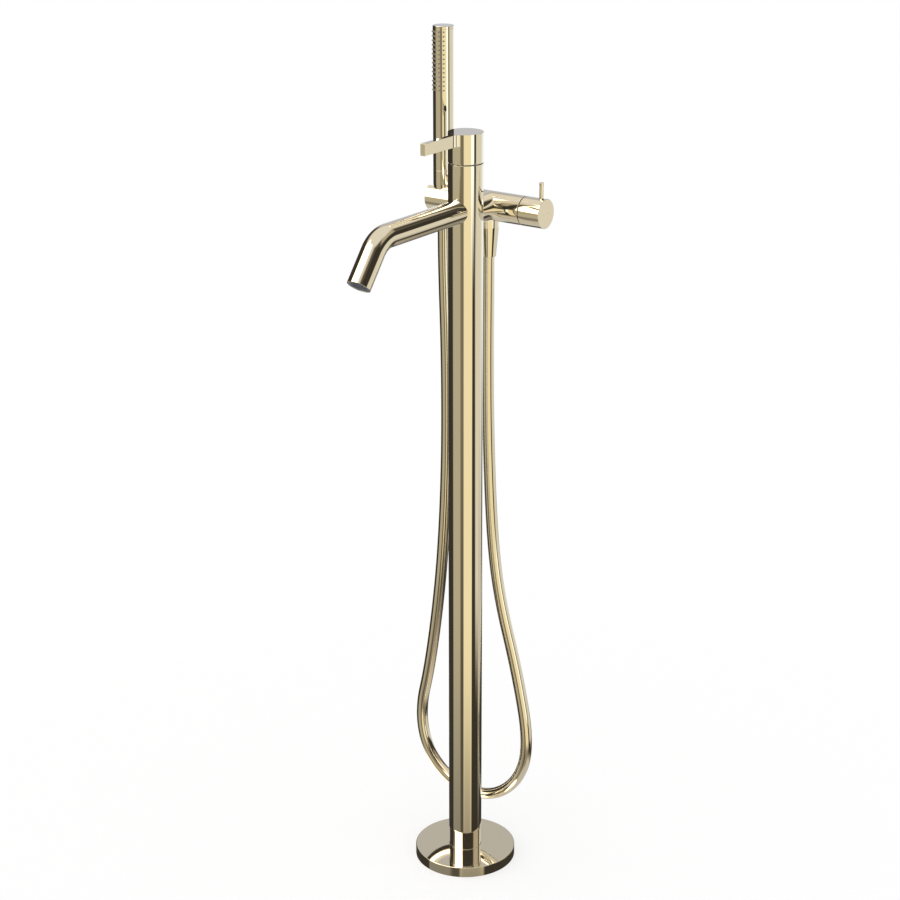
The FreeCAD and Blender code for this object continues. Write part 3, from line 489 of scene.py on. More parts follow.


# %% [markdown]
# The visible metal is brass with a hard, pale gold coating, polished like a mirror. The hose has a plastic
# skin over a gold film, a little softer in its reflections. Inside are turned brass, plain steel and
# copper pipe, and the small parts are rubber, silicone and moulded plastic.

# %% The materials
# The pale gold below is painted into reflections of gold in gold: a painted paler reflection.
PAINTED_REFLECTION_GOLD = (0.96, 0.93, 0.86, 1)
finishes = {
    "polished_gold": finish("polished pale gold", haze_group, {
        "Base": (0.69, 0.56, 0.36, 1), "Warm spots": (0.68, 0.55, 0.35, 1),
        "Gloss": 0.025, "Haze": 0.06}, metallic=1.0, painted_reflection_colour=PAINTED_REFLECTION_GOLD),
    "gold_hose": finish("smooth gold hose", haze_group, {
        "Base": (0.66, 0.53, 0.33, 1), "Warm spots": (0.64, 0.51, 0.31, 1),
        "Gloss": 0.04, "Haze": 0.06}, metallic=1.0, coat=0.1, painted_reflection_colour=PAINTED_REFLECTION_GOLD),
    "raw_brass": finish("turned brass", lathe_group, {
        "Bright": (0.72, 0.54, 0.27, 1), "Tarnish": (0.5, 0.35, 0.16, 1),
        "Rings": 900.0, "Depth": 0.3}, metallic=1.0),
    "plain_steel": finish("plain steel", lathe_group, {
        "Bright": (0.56, 0.57, 0.58, 1), "Tarnish": (0.4, 0.4, 0.4, 1),
        "Rings": 700.0, "Depth": 0.2}, metallic=1.0),
    "copper": finish("copper pipe", lathe_group, {
        "Bright": (0.8, 0.42, 0.28, 1), "Tarnish": (0.48, 0.22, 0.13, 1),
        "Rings": 120.0, "Depth": 0.1}, metallic=1.0),
    "black_rubber": finish("black rubber", grain_group, {
        "Base": (0.018, 0.018, 0.018, 1), "Mottle": (0.03, 0.03, 0.03, 1),
        "Gloss": 0.55, "Grain size": 1800.0, "Depth": 0.3}),
    "grey_silicone": finish("grey silicone", grain_group, {
        "Base": (0.25, 0.22, 0.17, 1), "Mottle": (0.3, 0.27, 0.21, 1),
        "Gloss": 0.42, "Grain size": 1600.0, "Depth": 0.2}),
    "white_plastic": finish("white moulded plastic", grain_group, {
        "Base": (0.78, 0.78, 0.76, 1), "Mottle": (0.7, 0.7, 0.68, 1),
        "Gloss": 0.3, "Grain size": 1200.0, "Depth": 0.15}),
    "dark_plastic": finish("dark moulded plastic", grain_group, {
        "Base": (0.075, 0.075, 0.08, 1), "Mottle": (0.11, 0.11, 0.115, 1),
        "Gloss": 0.35, "Grain size": 1400.0, "Depth": 0.2}),
}
for slot_name, material in finishes.items():
    print("finish", slot_name, "-", material.name)


# %% Give every CAD node its finish
def dress(piece, slot_name):
    """Gives a new piece the finish of the slot that it comes from."""
    piece.data.materials.clear()
    piece.data.materials.append(finishes[slot_name])


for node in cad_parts.values():
    for material_slot in node.material_slots:
        material_slot.material = finishes[material_slot.material.name.split(".")[0]]
dress(hose, "gold_hose")
print("dressed", len(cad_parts), "CAD nodes")

# %% [markdown]
# ## Turned pieces
#
# The flange, neck, column, cap, bar, knob, nuts and hand shower all come off a lathe in real life. Here
# each starts as a flat disc on its axis. The disc is drawn along the axis from ring to ring by extrude and
# resize, down its bore if it has one, and then its sharp rims are bevelled. The CAD model shows the same
# shapes, but its mesh is made of flat facets, and a mirror shows every one of them. A fine ring of faces
# with smooth shading, and normals that keep the flat ends flat, give an even mirror.

# %% Pick faces or edges in edit mode
def pick(piece, kind, wanted):
    """Selects the verts, edges or faces of a piece that pass a test, and says how many there are."""
    if bpy.context.mode != "EDIT_MESH":
        choose(piece)
        bpy.ops.object.mode_set(mode="EDIT")
    bpy.ops.mesh.select_mode(type=kind)
    bpy.ops.mesh.select_all(action="DESELECT")
    shape = bmesh.from_edit_mesh(piece.data)
    parts = {"VERT": shape.verts, "EDGE": shape.edges, "FACE": shape.faces}[kind]
    chosen = [part for part in parts if wanted(part)]
    for part in chosen:
        part.select_set(True)
    bmesh.update_edit_mesh(piece.data)
    return len(chosen)


# %% Polish a finished mesh
DOUBLES_WITHIN = 0.002 * MM


def polish(piece, angle=30):
    """Merges doubles, turns faces outwards, and shades smooth with flat faces kept flat."""
    choose(piece)
    bpy.ops.object.mode_set(mode="EDIT")
    bpy.ops.mesh.select_all(action="SELECT")
    bpy.ops.mesh.remove_doubles(threshold=DOUBLES_WITHIN)
    bpy.ops.mesh.normals_make_consistent(inside=False)
    bpy.ops.object.mode_set(mode="OBJECT")
    bpy.ops.object.shade_smooth_by_angle(angle=math.radians(angle))
    even = piece.modifiers.new("flat faces stay flat", "WEIGHTED_NORMAL")
    even.keep_sharp = True
    bpy.ops.object.modifier_apply(modifier=even.name)
    print(piece.name, len(piece.data.polygons), "faces")
    return piece


# %% Turn a piece on its axis
SAME_PLACE = 0.01 * MM


def start_disc(name, centre, along, radius, sides):
    """A flat disc square to its axis, left in edit mode with its face selected."""
    deselect()
    bpy.ops.mesh.primitive_circle_add(vertices=sides, radius=radius, fill_type="NGON", location=centre,
                                      rotation=along.to_track_quat("Z", "Y").to_euler())
    piece = bpy.context.object
    piece.name = name
    piece.data.name = name
    bpy.ops.object.transform_apply(location=True, rotation=True, scale=True)
    bpy.ops.object.mode_set(mode="EDIT")
    bpy.ops.mesh.select_mode(type="FACE")
    bpy.ops.mesh.select_all(action="SELECT")
    return piece


def grow(step, scale=1.0, about=None):
    """Extrudes the selected face by a step and then resizes it about a point."""
    bpy.ops.mesh.extrude_region_move(TRANSFORM_OT_translate={"value": step})
    if scale != 1:
        bpy.ops.transform.resize(value=(scale, scale, scale), center_override=about)


def turned(name, foot, along, profile, sides=128, through=False):
    """A turned piece. Its profile is a list of (distance along the axis, radius, rounding of that rim)."""
    reach, radius = profile[0][:2]
    piece = start_disc(name, foot + along * reach, along, radius, sides)
    for before, after in zip(profile, profile[1:]):
        grow(along * (after[0] - before[0]), after[1] / before[1], foot + along * after[0])

    def on_ring(vertex, distance, ring_radius):
        arm = vertex.co - foot
        height = arm.dot(along)
        return (abs(height - distance) < SAME_PLACE
                and abs((arm - along * height).length - ring_radius) < SAME_PLACE)

    if through:
        pick(piece, "FACE", lambda face: len(face.verts) == sides)
        bpy.ops.mesh.delete(type="ONLY_FACE")
        pick(piece, "EDGE", lambda edge: edge.is_boundary)
        bpy.ops.mesh.bridge_edge_loops()
    for distance, ring_radius, rounding in profile:
        if rounding:
            pick(piece, "EDGE", lambda edge: all(on_ring(end, distance, ring_radius) for end in edge.verts))
            bpy.ops.mesh.bevel(offset=rounding, segments=4, affect="EDGES")
    bpy.ops.object.mode_set(mode="OBJECT")
    return piece


# %% Cut a hole
def drill(piece, name, start, end, radius, sides=32):
    """Cuts a round hole from one point to the other, with a cutter that is thrown away."""
    run = end - start
    deselect()
    bpy.ops.mesh.primitive_cylinder_add(vertices=sides, radius=radius, depth=run.length,
                                        location=(start + end) / 2,
                                        rotation=run.to_track_quat("Z", "Y").to_euler())
    cut_away(piece, bpy.context.object, name)


def cut_away(piece, cutter, name):
    """Takes the cutter's shape out of the piece and removes the cutter."""
    choose(piece)
    hole = piece.modifiers.new(name, "BOOLEAN")
    hole.operation = "DIFFERENCE"
    hole.solver = "EXACT"
    hole.object = cutter
    bpy.ops.object.modifier_apply(modifier=hole.name)
    bpy.data.objects.remove(cutter)


# %% [markdown]
# ## Floor flange, neck and column
#
# The flange is a heavy disc that covers the bolts in the floor. A slimmer neck stands up through it, and
# the column is pushed over the neck and held by two small screws at its back. The neck is only seen in
# the short gap between flange and column, and the rounded rim of the flange's hole draws a fine line at
# its foot. Extra rings in the column, above and below the screw holes, keep the holes' ragged faces short,
# so that the long mirror above them stays clean.

# %% Floor flange
origin = Vector((0, 0, 0))
flange_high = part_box("floor_flange")[1]
neck_low, neck_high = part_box("neck_tube")
column_low, column_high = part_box("column_tube")
NECK_RADIUS = 19.2 * MM
COLUMN_RADIUS = column_high.x
COLUMN_BORE_RADIUS = 18 * MM
RIM = 0.3 * MM
FLANGE_RIM = 0.8 * MM
FLANGE_HOLE_RIM = 0.45 * MM
FLANGE_HOLE_RADIUS = NECK_RADIUS + 0.1 * MM
flange = turned("flange_disc", origin, UP, [
    (0, flange_high.x, 0), (flange_high.z, flange_high.x, FLANGE_RIM),
    (flange_high.z, FLANGE_HOLE_RADIUS, FLANGE_HOLE_RIM), (0, FLANGE_HOLE_RADIUS, 0),
], sides=192, through=True)
polish(flange)

# %% Neck
NECK_FOOT_RADIUS = 17.4 * MM
NECK_FOOT_TOP = 6 * MM
NECK_SHOULDER = column_low.z + 1 * MM
NECK_TOP_RADIUS = 17.7 * MM
NECK_BORE_RADIUS = 15.5 * MM
neck = turned("neck_sleeve", origin, UP, [
    (neck_low.z, NECK_FOOT_RADIUS, 0), (NECK_FOOT_TOP, NECK_FOOT_RADIUS, 0),
    (NECK_FOOT_TOP, NECK_RADIUS, 0), (NECK_SHOULDER, NECK_RADIUS, 0), (NECK_SHOULDER, NECK_TOP_RADIUS, 0),
    (neck_high.z, NECK_TOP_RADIUS, 0), (neck_high.z, NECK_BORE_RADIUS, 0),
    (neck_low.z, NECK_BORE_RADIUS, 0),
], through=True)
polish(neck)

# %% Column
SCREW_HEIGHT = 68.9 * MM
BELOW_SCREWS = 60 * MM
ABOVE_SCREWS = 78 * MM
SCREW_TURN = math.radians(35)
SCREW_HOLE_RADIUS = 3.05 * MM
SCREW_HOLE_HALF_DEPTH = 3 * MM
column = turned("column_sleeve", origin, UP, [
    (column_low.z, COLUMN_RADIUS, RIM), (BELOW_SCREWS, COLUMN_RADIUS, 0),
    (ABOVE_SCREWS, COLUMN_RADIUS, 0), (column_high.z, COLUMN_RADIUS, RIM),
    (column_high.z, COLUMN_BORE_RADIUS, 0), (ABOVE_SCREWS, COLUMN_BORE_RADIUS, 0),
    (BELOW_SCREWS, COLUMN_BORE_RADIUS, 0), (column_low.z, COLUMN_BORE_RADIUS, 0),
], through=True)
for side in (-1, 1):
    outwards = Vector((side * math.sin(SCREW_TURN), math.cos(SCREW_TURN), 0))
    middle = outwards * COLUMN_RADIUS + UP * SCREW_HEIGHT
    reach = outwards * SCREW_HOLE_HALF_DEPTH
    drill(column, "screw hole", middle - reach, middle + reach, SCREW_HOLE_RADIUS)
polish(column)

# %% [markdown]
# ## Cap and lever
#
# The cap is as thick as the column and floats a millimetre above it on a dark ring. The flat lever is cast
# on its upper part, flush with the top, and runs into the cap over two small fillets. The cap is turned
# first, with a ring at the height of the lever's underside and one on either side of the screw hole at
# its back. The faces at its front are then drawn out in small steps: each step slides them a little
# further, narrows them along the fillet's arc and takes some of the cap's roundness away, until they are
# flat and as wide as the lever. One long step makes the lever. Because it grows out of the cap's own
# faces, the top is one flat face without a seam.

# %% Cap
cap_low, cap_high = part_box("mixer_handle")
BELOW_CAP_SCREW = 877.5 * MM
ABOVE_CAP_SCREW = 884.5 * MM
LEVER_HALF_WIDTH = 3.1 * MM
LEVER_FOOT = 893.0 * MM
CAP_SIDES = 176
cap = turned("cap_and_lever", origin, UP, [
    (cap_low.z, COLUMN_RADIUS, 0), (BELOW_CAP_SCREW, COLUMN_RADIUS, 0),
    (ABOVE_CAP_SCREW, COLUMN_RADIUS, 0), (LEVER_FOOT, COLUMN_RADIUS, 0), (cap_high.z, COLUMN_RADIUS, 0),
], sides=CAP_SIDES)

# %% Draw the lever out of the cap
FILLET_FACES = 10
FILLET_STEPS = 12
touch = FILLET_FACES * 2 * math.pi / CAP_SIDES
fillet = (COLUMN_RADIUS * math.sin(touch) - LEVER_HALF_WIDTH) / (1 - math.sin(touch))
fillet_centre = Vector(((COLUMN_RADIUS + fillet) * math.sin(touch),
                        -(COLUMN_RADIUS + fillet) * math.cos(touch)))


def fillet_point(step):
    """Where the fillet's arc is after so many steps: half the width and the place along Y."""
    angle = (math.pi / 2 - touch) * (1 - step / FILLET_STEPS)
    return (fillet_centre.x - fillet * math.cos(angle), fillet_centre.y + fillet * math.sin(angle))


def at_lever_root(face):
    """The upright faces at the cap's front, above the lever's underside and between the fillets."""
    middle = face.calc_center_median()
    return (abs(face.normal.z) < 0.1 and middle.z > LEVER_FOOT
            and math.atan2(abs(middle.x), -middle.y) < touch)


root_faces = pick(cap, "FACE", at_lever_root)
for step in range(1, FILLET_STEPS + 1):
    (half_before, y_before), (half_after, y_after) = fillet_point(step - 1), fillet_point(step)
    left_before, left_after = (1 - (step - 1) / FILLET_STEPS), (1 - step / FILLET_STEPS)
    grow(Vector((0, y_after - y_before, 0)))
    bpy.ops.transform.resize(value=(half_after / half_before, left_after / left_before, 1),
                             center_override=(0, y_after, cap_high.z))
grow(Vector((0, cap_low.y - fillet_point(FILLET_STEPS)[1], 0)))
bpy.ops.mesh.select_all(action="DESELECT")
bpy.ops.object.mode_set(mode="OBJECT")
print("lever drawn out of", root_faces, "faces, fillet", round(fillet / MM, 2), "mm")


# %% Soften the cap's edges and drill its screw hole
def is_sharp(edge):
    """An edge that stands out by more than 45 degrees. The hollow ones beside the lever stay."""
    return edge.is_manifold and edge.calc_face_angle(0) > math.radians(45) and edge.is_convex


pick(cap, "EDGE", is_sharp)
bpy.ops.mesh.bevel(offset=RIM, segments=3, affect="EDGES")
CAP_SCREW_HEIGHT = 880.8 * MM
CAP_HOLE_RADIUS = 2.05 * MM
CAP_HOLE_START = 15 * MM
CAP_HOLE_END = 21 * MM
drill(cap, "cap screw hole", Vector((0, CAP_HOLE_START, CAP_SCREW_HEIGHT)),
      Vector((0, CAP_HOLE_END, CAP_SCREW_HEIGHT)), CAP_HOLE_RADIUS)
polish(cap)

# %% [markdown]
# ## Spout
#
# The spout is one tube with a single bend. A disc at the column is extruded straight forward, spun round
# the bend's centre, and extruded again to the mouth. There it is inset and pushed in, which leaves the
# thin rim that holds the aerator. Spin gives true arcs, so the reflections run through the bend without
# a kink. Two rings on the straight part keep the screw hole's ragged faces short.

# %% Spout tube
SPOUT_RADIUS = 13.35 * MM
SPOUT_HEIGHT = 818.9 * MM
SPOUT_ROOT = -14.5 * MM
BEHIND_SPOUT_SCREW = -26.5 * MM
SPOUT_SCREW_PLACE = -32 * MM
BEFORE_SPOUT_SCREW = -37.5 * MM
SPOUT_STRAIGHT = -145 * MM
BEND_RADIUS = 32 * MM
BEND_ANGLE = math.radians(51.6)
TIP_LENGTH = 41.5 * MM
MOUTH_RADIUS = 12.25 * MM
MOUTH_DEPTH = 6 * MM
MOUTH_RIM = 0.25 * MM
spout_way = Vector((0, -math.cos(BEND_ANGLE), -math.sin(BEND_ANGLE)))
bend_centre = Vector((0, SPOUT_STRAIGHT, SPOUT_HEIGHT - BEND_RADIUS))
bend_end = bend_centre + Vector((0, -math.sin(BEND_ANGLE), math.cos(BEND_ANGLE))) * BEND_RADIUS
mouth = bend_end + spout_way * TIP_LENGTH
straight_rings = (SPOUT_ROOT, BEHIND_SPOUT_SCREW, BEFORE_SPOUT_SCREW, SPOUT_STRAIGHT)
spout = start_disc("spout_bend", Vector((0, SPOUT_ROOT, SPOUT_HEIGHT)), -BACK, SPOUT_RADIUS, 96)
for before, after in zip(straight_rings, straight_rings[1:]):
    grow(BACK * (after - before))
bpy.ops.mesh.spin(steps=32, angle=-BEND_ANGLE, center=bend_centre, axis=RIGHT)
grow(spout_way * TIP_LENGTH)
grow(Vector((0, 0, 0)), MOUTH_RADIUS / SPOUT_RADIUS, mouth)
grow(-spout_way * MOUTH_DEPTH)


def on_mouth_rim(edge):
    """The sharp edges of the mouth's end face."""
    in_end_face = all(abs((end.co - mouth).dot(spout_way)) < SAME_PLACE for end in edge.verts)
    return in_end_face and len(edge.link_faces) == 2 and edge.calc_face_angle(0) > 1


spout_rim = pick(spout, "EDGE", on_mouth_rim)
bpy.ops.mesh.bevel(offset=MOUTH_RIM, segments=3, affect="EDGES")
print("spout rim", spout_rim, "edges, mouth at", [round(side / MM, 2) for side in mouth])

# %% Spout screw hole
SPOUT_HOLE_RADIUS = 2.55 * MM
spout_underside = SPOUT_HEIGHT - SPOUT_RADIUS
drill(spout, "spout screw hole", Vector((0, SPOUT_SCREW_PLACE, spout_underside - 1 * MM)),
      Vector((0, SPOUT_SCREW_PLACE, spout_underside + 4 * MM)), SPOUT_HOLE_RADIUS)
polish(spout)

# %% [markdown]
# The aerator is a dark plastic cup in the mouth. Seen from below it has a rim, a step and a fine screen.
# It is turned about the spout's own direction: its outline runs from the back of the cup over the rim and
# down the steps to the floor behind the screen.

# %% Aerator
AERATOR_RECESS = 0.4 * MM
AERATOR_RADIUS = 12.1 * MM
aerator_face = mouth - spout_way * AERATOR_RECESS
aerator = turned("aerator_cup", aerator_face, spout_way, [
    (-4 * MM, AERATOR_RADIUS, 0), (0, AERATOR_RADIUS, 0.2 * MM), (0, 9.6 * MM, 0.15 * MM),
    (-0.9 * MM, 9.2 * MM, 0), (-0.9 * MM, 8.6 * MM, 0), (-0.5 * MM, 8.4 * MM, 0.1 * MM),
    (-0.5 * MM, 7.9 * MM, 0), (-1.3 * MM, 7.7 * MM, 0),
], sides=72)
polish(aerator)

# %% [markdown]
# The screen is a real grid of thin wires. Each wire is a slim eight-sided rod, as long as the cup is wide
# where it lies, with its edges softened. One row lies sideways and the other crosses it.

# %% Aerator screen
SCREEN_RADIUS = 7.8 * MM
SCREEN_DEPTH = 1.05 * MM
WIRE_PITCH = 1.2 * MM
WIRE_THICKNESS = 0.28 * MM
WIRES_EACH_SIDE = 6
screen_centre = aerator_face - spout_way * SCREEN_DEPTH
across_spout = spout_way.cross(RIGHT)


def wire(offset, along, aside):
    """One wire of the screen, cut to the round of the cup."""
    half = math.sqrt(SCREEN_RADIUS ** 2 - offset ** 2)
    deselect()
    bpy.ops.mesh.primitive_cylinder_add(vertices=8, radius=WIRE_THICKNESS / 2, depth=2 * half,
                                        location=screen_centre + aside * offset,
                                        rotation=along.to_track_quat("Z", "Y").to_euler())
    bpy.ops.object.transform_apply(location=True, rotation=True, scale=True)
    bpy.ops.object.mode_set(mode="EDIT")
    bpy.ops.mesh.select_all(action="SELECT")
    bpy.ops.mesh.bevel(offset=WIRE_THICKNESS * 0.1, segments=1, affect="EDGES")
    bpy.ops.object.mode_set(mode="OBJECT")
    return bpy.context.object


def join(name, pieces):
    """Joins pieces into the first of them and names it."""
    choose(pieces[0])
    for piece in pieces:
        piece.select_set(True)
    bpy.ops.object.join()
    joined = bpy.context.object
    joined.name = name
    joined.data.name = name
    return joined


wires = []
for number in range(-WIRES_EACH_SIDE, WIRES_EACH_SIDE + 1):
    wires.append(wire(number * WIRE_PITCH, RIGHT, across_spout))
    wires.append(wire(number * WIRE_PITCH, across_spout, RIGHT))
screen = polish(join("aerator_screen", wires))

# %% [markdown]
# ## Cross bar
#
# Behind the column lies a bar as thick as the knob at its right end. A short stub joins it to the column,
# and the hand shower's holder is its left arm. The stub and the arm are simply pushed into each other, as
# they are where the casting was machined: the crease between them is sharp, and two clean cylinders
# mirror each other better than one cut mesh would.

# %% Right arm and stub
bar_low, bar_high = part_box("rear_crossbar")
knob_low, knob_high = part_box("diverter_knob")
holder_low, holder_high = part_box("handset_holder")
BAR_RADIUS = (knob_high.z - knob_low.z) / 2
STUB_RADIUS = BAR_RADIUS - 0.1 * MM
STUB_ROOT = 11 * MM
HOLLOW_RADIUS = 14.1 * MM
HOLLOW_DEPTH = 3 * MM
TIGHT_RIM = 0.1 * MM
bar_middle = Vector((0, (knob_low.y + knob_high.y) / 2, (knob_low.z + knob_high.z) / 2))
arm = turned("crossbar_arm", bar_middle, RIGHT, [
    (bar_low.x, BAR_RADIUS, TIGHT_RIM), (bar_high.x, BAR_RADIUS, RIM),
    (bar_high.x, HOLLOW_RADIUS, 0), (bar_high.x - HOLLOW_DEPTH, HOLLOW_RADIUS, 0),
])
stub = turned("crossbar_stub", Vector((0, 0, bar_middle.z)), BACK, [
    (STUB_ROOT, STUB_RADIUS, 0), (bar_middle.y, STUB_RADIUS, 0),
])
crossbar = polish(join("crossbar_casting", [arm, stub]))

# %% [markdown]
# The holder is the left arm. A tapered seat goes down through it, for the nut of the hand shower, and a
# slot as wide as the hose runs from the seat out to the end, so that the hose can be slipped in. The
# seat and the slot are cut with one cutter each, and the end gets its small rounding before that. Both
# cutters reach past the metal, so that no skin is left, and a ring beside the seat keeps its ragged faces
# short.

# %% Hand shower holder
HOLDER_PLACE = -64.6 * MM
RING_BESIDE_SEAT = HOLDER_PLACE + 14 * MM
SEAT_FOOT_RADIUS = 8.8 * MM
SEAT_TOP_RADIUS = 12.2 * MM
SEAT_TOP = 831.6 * MM
SEAT_FOOT = 797.0 * MM
CUTTER_BELOW_SEAT = 2 * MM
CUTTER_NARROWER = 0.2 * MM
CUTTER_ABOVE_SEAT = 4 * MM
SLOT_HALF_WIDTH = 8 * MM
SLOT_CUTTER_OVERRUN = 5 * MM
SLOT_CUTTER_HEIGHT = 50 * MM
holder = turned("holder_arm", bar_middle, RIGHT, [
    (holder_low.x, BAR_RADIUS, RIM), (RING_BESIDE_SEAT, BAR_RADIUS, 0),
    (holder_high.x, BAR_RADIUS, TIGHT_RIM),
])
seat_axis = Vector((HOLDER_PLACE, bar_middle.y, 0))
seat = turned("seat", seat_axis, UP, [
    (SEAT_FOOT - CUTTER_BELOW_SEAT, SEAT_FOOT_RADIUS - CUTTER_NARROWER, 0),
    (SEAT_TOP, SEAT_TOP_RADIUS, 0), (SEAT_TOP + CUTTER_ABOVE_SEAT, SEAT_TOP_RADIUS, 0),
], sides=96)
cut_away(holder, seat, "seat")
slot_cutter_middle = holder_low.x - SLOT_CUTTER_OVERRUN
slot_cutter_length = 2 * (HOLDER_PLACE - slot_cutter_middle)
deselect()
bpy.ops.mesh.primitive_cube_add(size=1, location=(slot_cutter_middle, bar_middle.y, bar_middle.z),
                                scale=(slot_cutter_length, 2 * SLOT_HALF_WIDTH, SLOT_CUTTER_HEIGHT))
cut_away(holder, bpy.context.object, "hose slot")
polish(holder)

# %% [markdown]
# ## Diverter knob
#
# The knob closes the bar's right end. A hairline gap lets it turn, two tiny sunk dots on its face mark
# the two ways the water can go, and a round pin on top turns it.

# %% Knob
KNOB_RIM = 0.4 * MM
knob = turned("knob_turned", bar_middle, RIGHT, [
    (knob_low.x + HOLLOW_DEPTH, HOLLOW_RADIUS, 0), (knob_low.x, HOLLOW_RADIUS, 0),
    (knob_low.x, BAR_RADIUS, RIM), (knob_high.x, BAR_RADIUS, KNOB_RIM),
])
DOT_RADIUS = 0.55 * MM
DOT_DEPTH = 0.4 * MM
DOT_SPREAD = 4.4 * MM
for side in (-1, 1):
    dot = bar_middle + RIGHT * knob_high.x + BACK * side * DOT_SPREAD
    drill(knob, "index dot", dot - RIGHT * DOT_DEPTH, dot + RIGHT * MM, DOT_RADIUS, 16)
polish(knob)

# %% Pin
PIN_RIM = 0.5 * MM
pin_low, pin_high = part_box("diverter_pin")
pin_radius = (pin_high.x - pin_low.x) / 2
pin_axis = Vector(((pin_low.x + pin_high.x) / 2, (pin_low.y + pin_high.y) / 2, 0))
pin = turned("knob_pin", pin_axis, UP, [
    (pin_low.z, pin_radius, 0), (pin_high.z, pin_radius, PIN_RIM),
], sides=64)
polish(pin)

# %% [markdown]
# ## Hose nuts
#
# Both hose ends carry the same long nut: a short straight collar and a slender cone down to the hose. One
# nut is turned and the other is its copy with a mesh of its own. The collar is at the top of both.

# %% Hose nuts
NUT_RADIUS = 11.9 * MM
NUT_FOOT_RADIUS = 8.5 * MM
NUT_MOUTH_RADIUS = 7.4 * MM
NUT_CONE = 34.6 * MM
NUT_RECESS_RADIUS = 10.4 * MM
NUT_RECESS = 5 * MM
outlet_low, outlet_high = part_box("hose_nut_outlet")
seated_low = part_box("hose_nut_handset")[0]
nut_height = outlet_high.z - outlet_low.z
outlet_axis = Vector(((outlet_low.x + outlet_high.x) / 2, bar_middle.y, 0))
outlet_nut = turned("outlet_nut", outlet_axis, UP, [
    (outlet_low.z, NUT_FOOT_RADIUS, RIM), (outlet_low.z + NUT_CONE, NUT_RADIUS, 0.15 * MM),
    (outlet_high.z, NUT_RADIUS, RIM), (outlet_high.z, NUT_RECESS_RADIUS, 0),
    (outlet_high.z - NUT_RECESS, NUT_RECESS_RADIUS, 0), (outlet_high.z - NUT_RECESS, NUT_MOUTH_RADIUS, 0),
    (outlet_low.z, NUT_MOUTH_RADIUS, 0.2 * MM),
], sides=96, through=True)
polish(outlet_nut)
choose(outlet_nut)
bpy.ops.object.duplicate(linked=False)
seated_nut = bpy.context.object
seated_nut.name = "seated_nut"
seated_nut.data.name = "seated_nut"
bpy.ops.transform.translate(value=seat_axis - outlet_axis + UP * (seated_low.z - outlet_low.z))
bpy.ops.object.transform_apply(location=True, rotation=True, scale=True)
print("nuts", round(nut_height / MM, 1), "mm tall")

# %% [markdown]
# ## Hand shower
#
# The hand shower is a plain tube with a lid. Four columns of soft grey nozzles stand out of its front.
# One nozzle is turned and copied to every place on the grid: a collar, a taper and a sunk mouth, so that
# each catches its own bit of light.

# %% Hand shower tube and lid
shell_low, shell_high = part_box("handset_shell")
lid_low, lid_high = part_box("handset_end_cap")
SHELL_RADIUS = (shell_high.x - shell_low.x) / 2
SHELL_BORE_RADIUS = SHELL_RADIUS - 1.5 * MM
SHELL_BORE_DEPTH = 6 * MM
LID_PLUG_RADIUS = SHELL_RADIUS - 1.6 * MM
SEAM = 0.1 * MM
SEAM_RIM = 0.12 * MM
LID_RIM = 0.5 * MM
lid_foot = shell_high.z + SEAM
shell = turned("hand_shower_tube", seat_axis, UP, [
    (shell_low.z, SHELL_RADIUS, 0.15 * MM), (shell_high.z, SHELL_RADIUS, SEAM_RIM),
    (shell_high.z, SHELL_BORE_RADIUS, 0), (shell_high.z - SHELL_BORE_DEPTH, SHELL_BORE_RADIUS, 0),
])
polish(shell)
lid = turned("hand_shower_lid", seat_axis, UP, [
    (lid_low.z, LID_PLUG_RADIUS, 0), (lid_foot, LID_PLUG_RADIUS, 0),
    (lid_foot, SHELL_RADIUS, SEAM_RIM), (lid_high.z, SHELL_RADIUS, LID_RIM),
])
polish(lid)

# %% One nozzle
NOZZLE_ROWS = 14
NOZZLE_COLUMNS = 4
NOZZLE_PITCH = 5 * MM
NOZZLE_TURN = math.radians(25)
FIRST_ROW = lid_high.z - 6.3 * MM
NOZZLE_STAND_OUT = 1.6 * MM
NOZZLE_SUNK = 0.05 * MM
first_nozzle = turned("nozzle", origin, UP, [
    (-1.2 * MM, 1.1 * MM, 0), (0.15 * MM, 1.1 * MM, 0), (0.3 * MM, 1.0 * MM, 0),
    (NOZZLE_STAND_OUT, 0.8 * MM, 0.15 * MM), (NOZZLE_STAND_OUT, 0.38 * MM, 0),
    (NOZZLE_STAND_OUT - 0.7 * MM, 0.3 * MM, 0),
], sides=16)
polish(first_nozzle, 40)


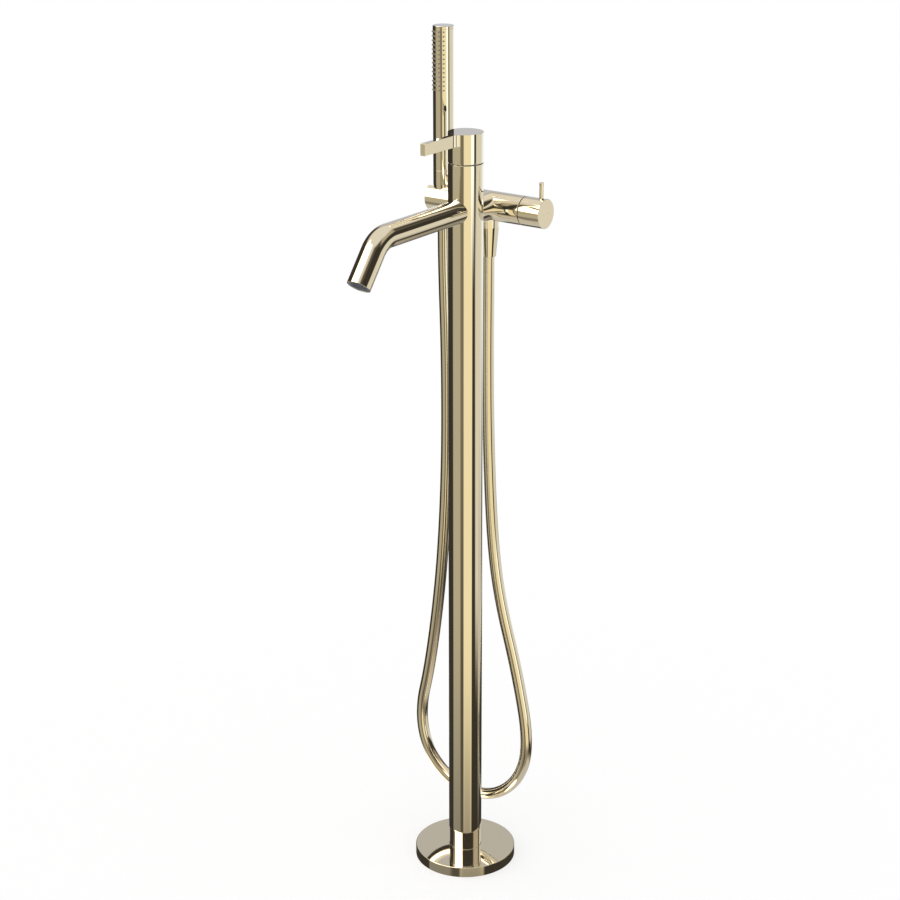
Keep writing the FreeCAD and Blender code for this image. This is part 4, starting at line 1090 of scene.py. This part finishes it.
# %% All nozzles
def nozzle_copy(height, angle):
    """A copy of the nozzle, with its own mesh, that points out of the tube."""
    choose(first_nozzle)
    bpy.ops.object.duplicate(linked=False)
    copy = bpy.context.object
    outwards = Vector((math.cos(angle), math.sin(angle), 0))
    copy.rotation_euler = outwards.to_track_quat("Z", "Y").to_euler()
    copy.location = seat_axis + outwards * (SHELL_RADIUS - NOZZLE_SUNK) + UP * height
    bpy.ops.object.transform_apply(location=True, rotation=True, scale=True)
    return copy


nozzles = []
for row in range(NOZZLE_ROWS):
    for number in range(NOZZLE_COLUMNS):
        turn = (number - (NOZZLE_COLUMNS - 1) / 2) * NOZZLE_TURN - math.pi / 2
        nozzles.append(nozzle_copy(FIRST_ROW - row * NOZZLE_PITCH, turn))
bpy.data.objects.remove(first_nozzle)
spray = join("spray_nozzles", nozzles)
print("nozzles", len(nozzles))

# %% [markdown]
# ## Dress the pieces and let them ride
#
# Each new piece stands for its CAD node, takes the finish of that node's slot and rides on its body, so
# that the lever, the knob and the hand shower carry their own pieces along when they move.

# %% Who stands for what
new_pieces = [
    (flange, "stand", "polished_gold", ["floor_flange"]),
    (neck, "stand", "polished_gold", ["neck_tube"]),
    (column, "stand", "polished_gold", ["column_tube"]),
    (cap, "mixer_lever", "polished_gold", ["mixer_handle"]),
    (spout, "stand", "polished_gold", ["spout_tube"]),
    (aerator, "stand", "dark_plastic", ["aerator_housing"]),
    (screen, "stand", "dark_plastic", ["aerator_mesh"]),
    (crossbar, "stand", "polished_gold", ["rear_crossbar"]),
    (holder, "stand", "polished_gold", ["handset_holder"]),
    (knob, "diverter", "polished_gold", ["diverter_knob"]),
    (pin, "diverter", "polished_gold", ["diverter_pin"]),
    (outlet_nut, "stand", "polished_gold", ["hose_nut_outlet"]),
    (seated_nut, "handset", "polished_gold", ["hose_nut_handset"]),
    (shell, "handset", "polished_gold", ["handset_shell"]),
    (lid, "handset", "polished_gold", ["handset_end_cap"]),
    (spray, "handset", "grey_silicone", ["spray_insert"]),
]
for piece, body, slot_name, stands_for in new_pieces:
    dress(piece, slot_name)
    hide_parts(*stands_for)
    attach(piece, body)
print("new pieces", len(new_pieces))
